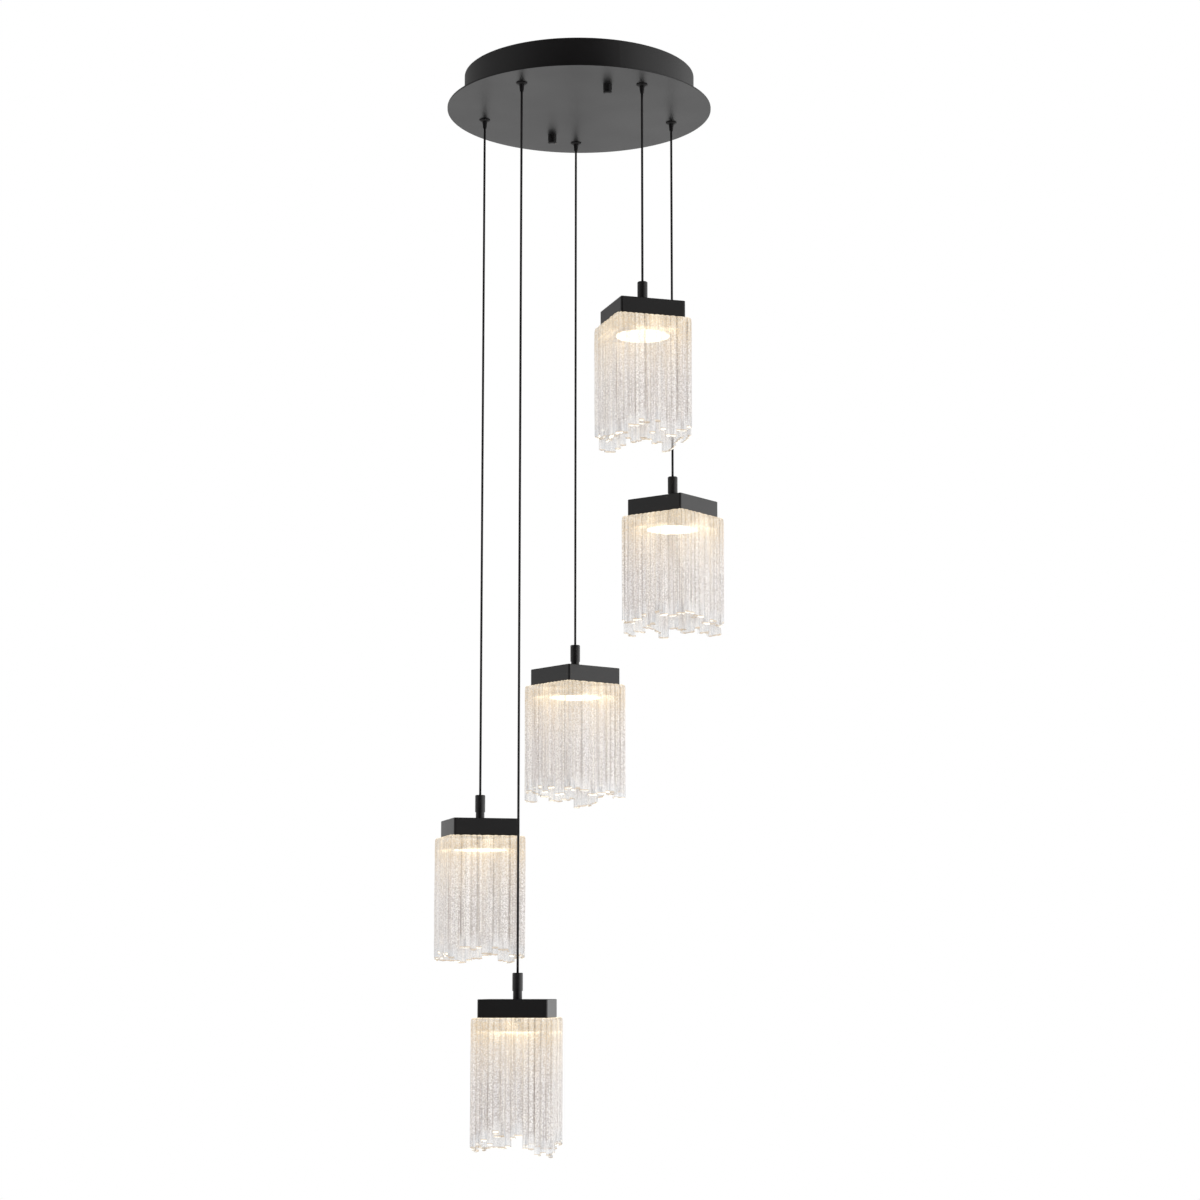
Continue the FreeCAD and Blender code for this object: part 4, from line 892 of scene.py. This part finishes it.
def pale_floor():
    """A floor that looks white, far enough down to be out of the way of views from below."""
    corners = [(x * FLOOR_REACH, y * FLOOR_REACH, FLOOR_DEPTH) for x, y in ((-1, -1), (1, -1), (1, 1), (-1, 1))]
    mesh = bpy.data.meshes.new("floor")
    mesh.from_pydata(corners, [], [(0, 1, 2, 3)])
    floor = bpy.data.objects.new("floor", mesh)
    bpy.context.collection.objects.link(floor)
    n = Nodes("floor")
    n.set(Roughness=0.9)
    n.into(n.ramp(n.noise(0.8, 2), (0.3, (0.80, 0.80, 0.80)), (0.7, (0.84, 0.84, 0.84))), "Base Color")
    paths = n.add("ShaderNodeLightPath")
    seen = n.math("MAXIMUM", paths.outputs["Is Camera Ray"], paths.outputs["Is Glossy Ray"])
    seen = n.math("MAXIMUM", seen, paths.outputs["Is Transmission Ray"])
    n.set(Emission_Color=(1, 1, 1, 1))
    n.into(n.math("MULTIPLY", seen, FLOOR_GLOW), "Emission Strength")
    mesh.materials.append(n.material)


def white_world():
    """White all round to the eye. What gloss reflects is a white studio with a dark room on one side."""
    world = bpy.data.worlds.new("studio")
    bpy.context.scene.world = world
    world.use_nodes = True
    tree = world.node_tree
    background = tree.nodes["Background"]
    background.inputs["Color"].default_value = (1, 1, 1, 1)
    paths = tree.nodes.new("ShaderNodeLightPath")
    ways = tree.nodes.new("ShaderNodeTexCoord")

    def combine(operation, first, second):
        node = tree.nodes.new("ShaderNodeMath")
        node.operation = operation
        for socket, given in zip(node.inputs, (first, second)):
            if isinstance(given, bpy.types.NodeSocket):
                tree.links.new(given, socket)
            else:
                socket.default_value = given
        return node.outputs[0]

    def facing(way, low, high, to_low, to_high):
        """A number that goes from one value to another as a ray turns towards a way."""
        dot = tree.nodes.new("ShaderNodeVectorMath")
        dot.operation = "DOT_PRODUCT"
        dot.inputs[1].default_value = way
        tree.links.new(ways.outputs["Generated"], dot.inputs[0])
        span = tree.nodes.new("ShaderNodeMapRange")
        span.interpolation_type = "SMOOTHSTEP"
        for key, number in (("From Min", low), ("From Max", high), ("To Min", to_low), ("To Max", to_high)):
            span.inputs[key].default_value = number
        tree.links.new(dot.outputs["Value"], span.inputs["Value"])
        return span.outputs["Result"]

    dark_room = facing(TOWARD_CAMERA, 0.35, 0.97, 1.0, 0.12)
    soft_box = facing(RIGHT_OF_CAMERA, 0.35, 0.90, 0.0, 1.7)
    far_corner = facing(AWAY, 0.60, 0.77, 1.0, 0.85)
    overhead = facing(UP, 0.08, 0.42, 1.0, 0.15)
    walls = combine("ADD", combine("MULTIPLY", dark_room, far_corner), soft_box)
    glossy = combine("MULTIPLY", combine("MULTIPLY", walls, overhead), paths.outputs["Is Glossy Ray"])
    seen = combine("MAXIMUM", paths.outputs["Is Camera Ray"], paths.outputs["Is Transmission Ray"])
    bright = combine("MAXIMUM", seen, glossy)
    diffuse = combine("MULTIPLY", paths.outputs["Is Diffuse Ray"], 0.60)
    tree.links.new(combine("MAXIMUM", bright, diffuse), background.inputs["Strength"])


def soft_lamp(name, place, size, power):
    """A square lamp that lights the pendants and isn't seen in gloss."""
    data = bpy.data.lights.new(name, "AREA")
    data.shape = "SQUARE"
    data.size = size
    data.energy = power
    lamp = bpy.data.objects.new(name, data)
    lamp.location = place
    lamp.rotation_euler = (Vector(LAMP_AIM) - Vector(place)).to_track_quat("-Z", "Y").to_euler()
    lamp.visible_glossy = False
    bpy.context.collection.objects.link(lamp)


pale_floor()
white_world()
for lamp_name, lamp_settings in LAMPS.items():
    soft_lamp(lamp_name, **lamp_settings)

scene = bpy.context.scene
scene.view_settings.view_transform = "Standard"
# A look through two shades crosses many see-through faces.
scene.cycles.transparent_max_bounces = 24
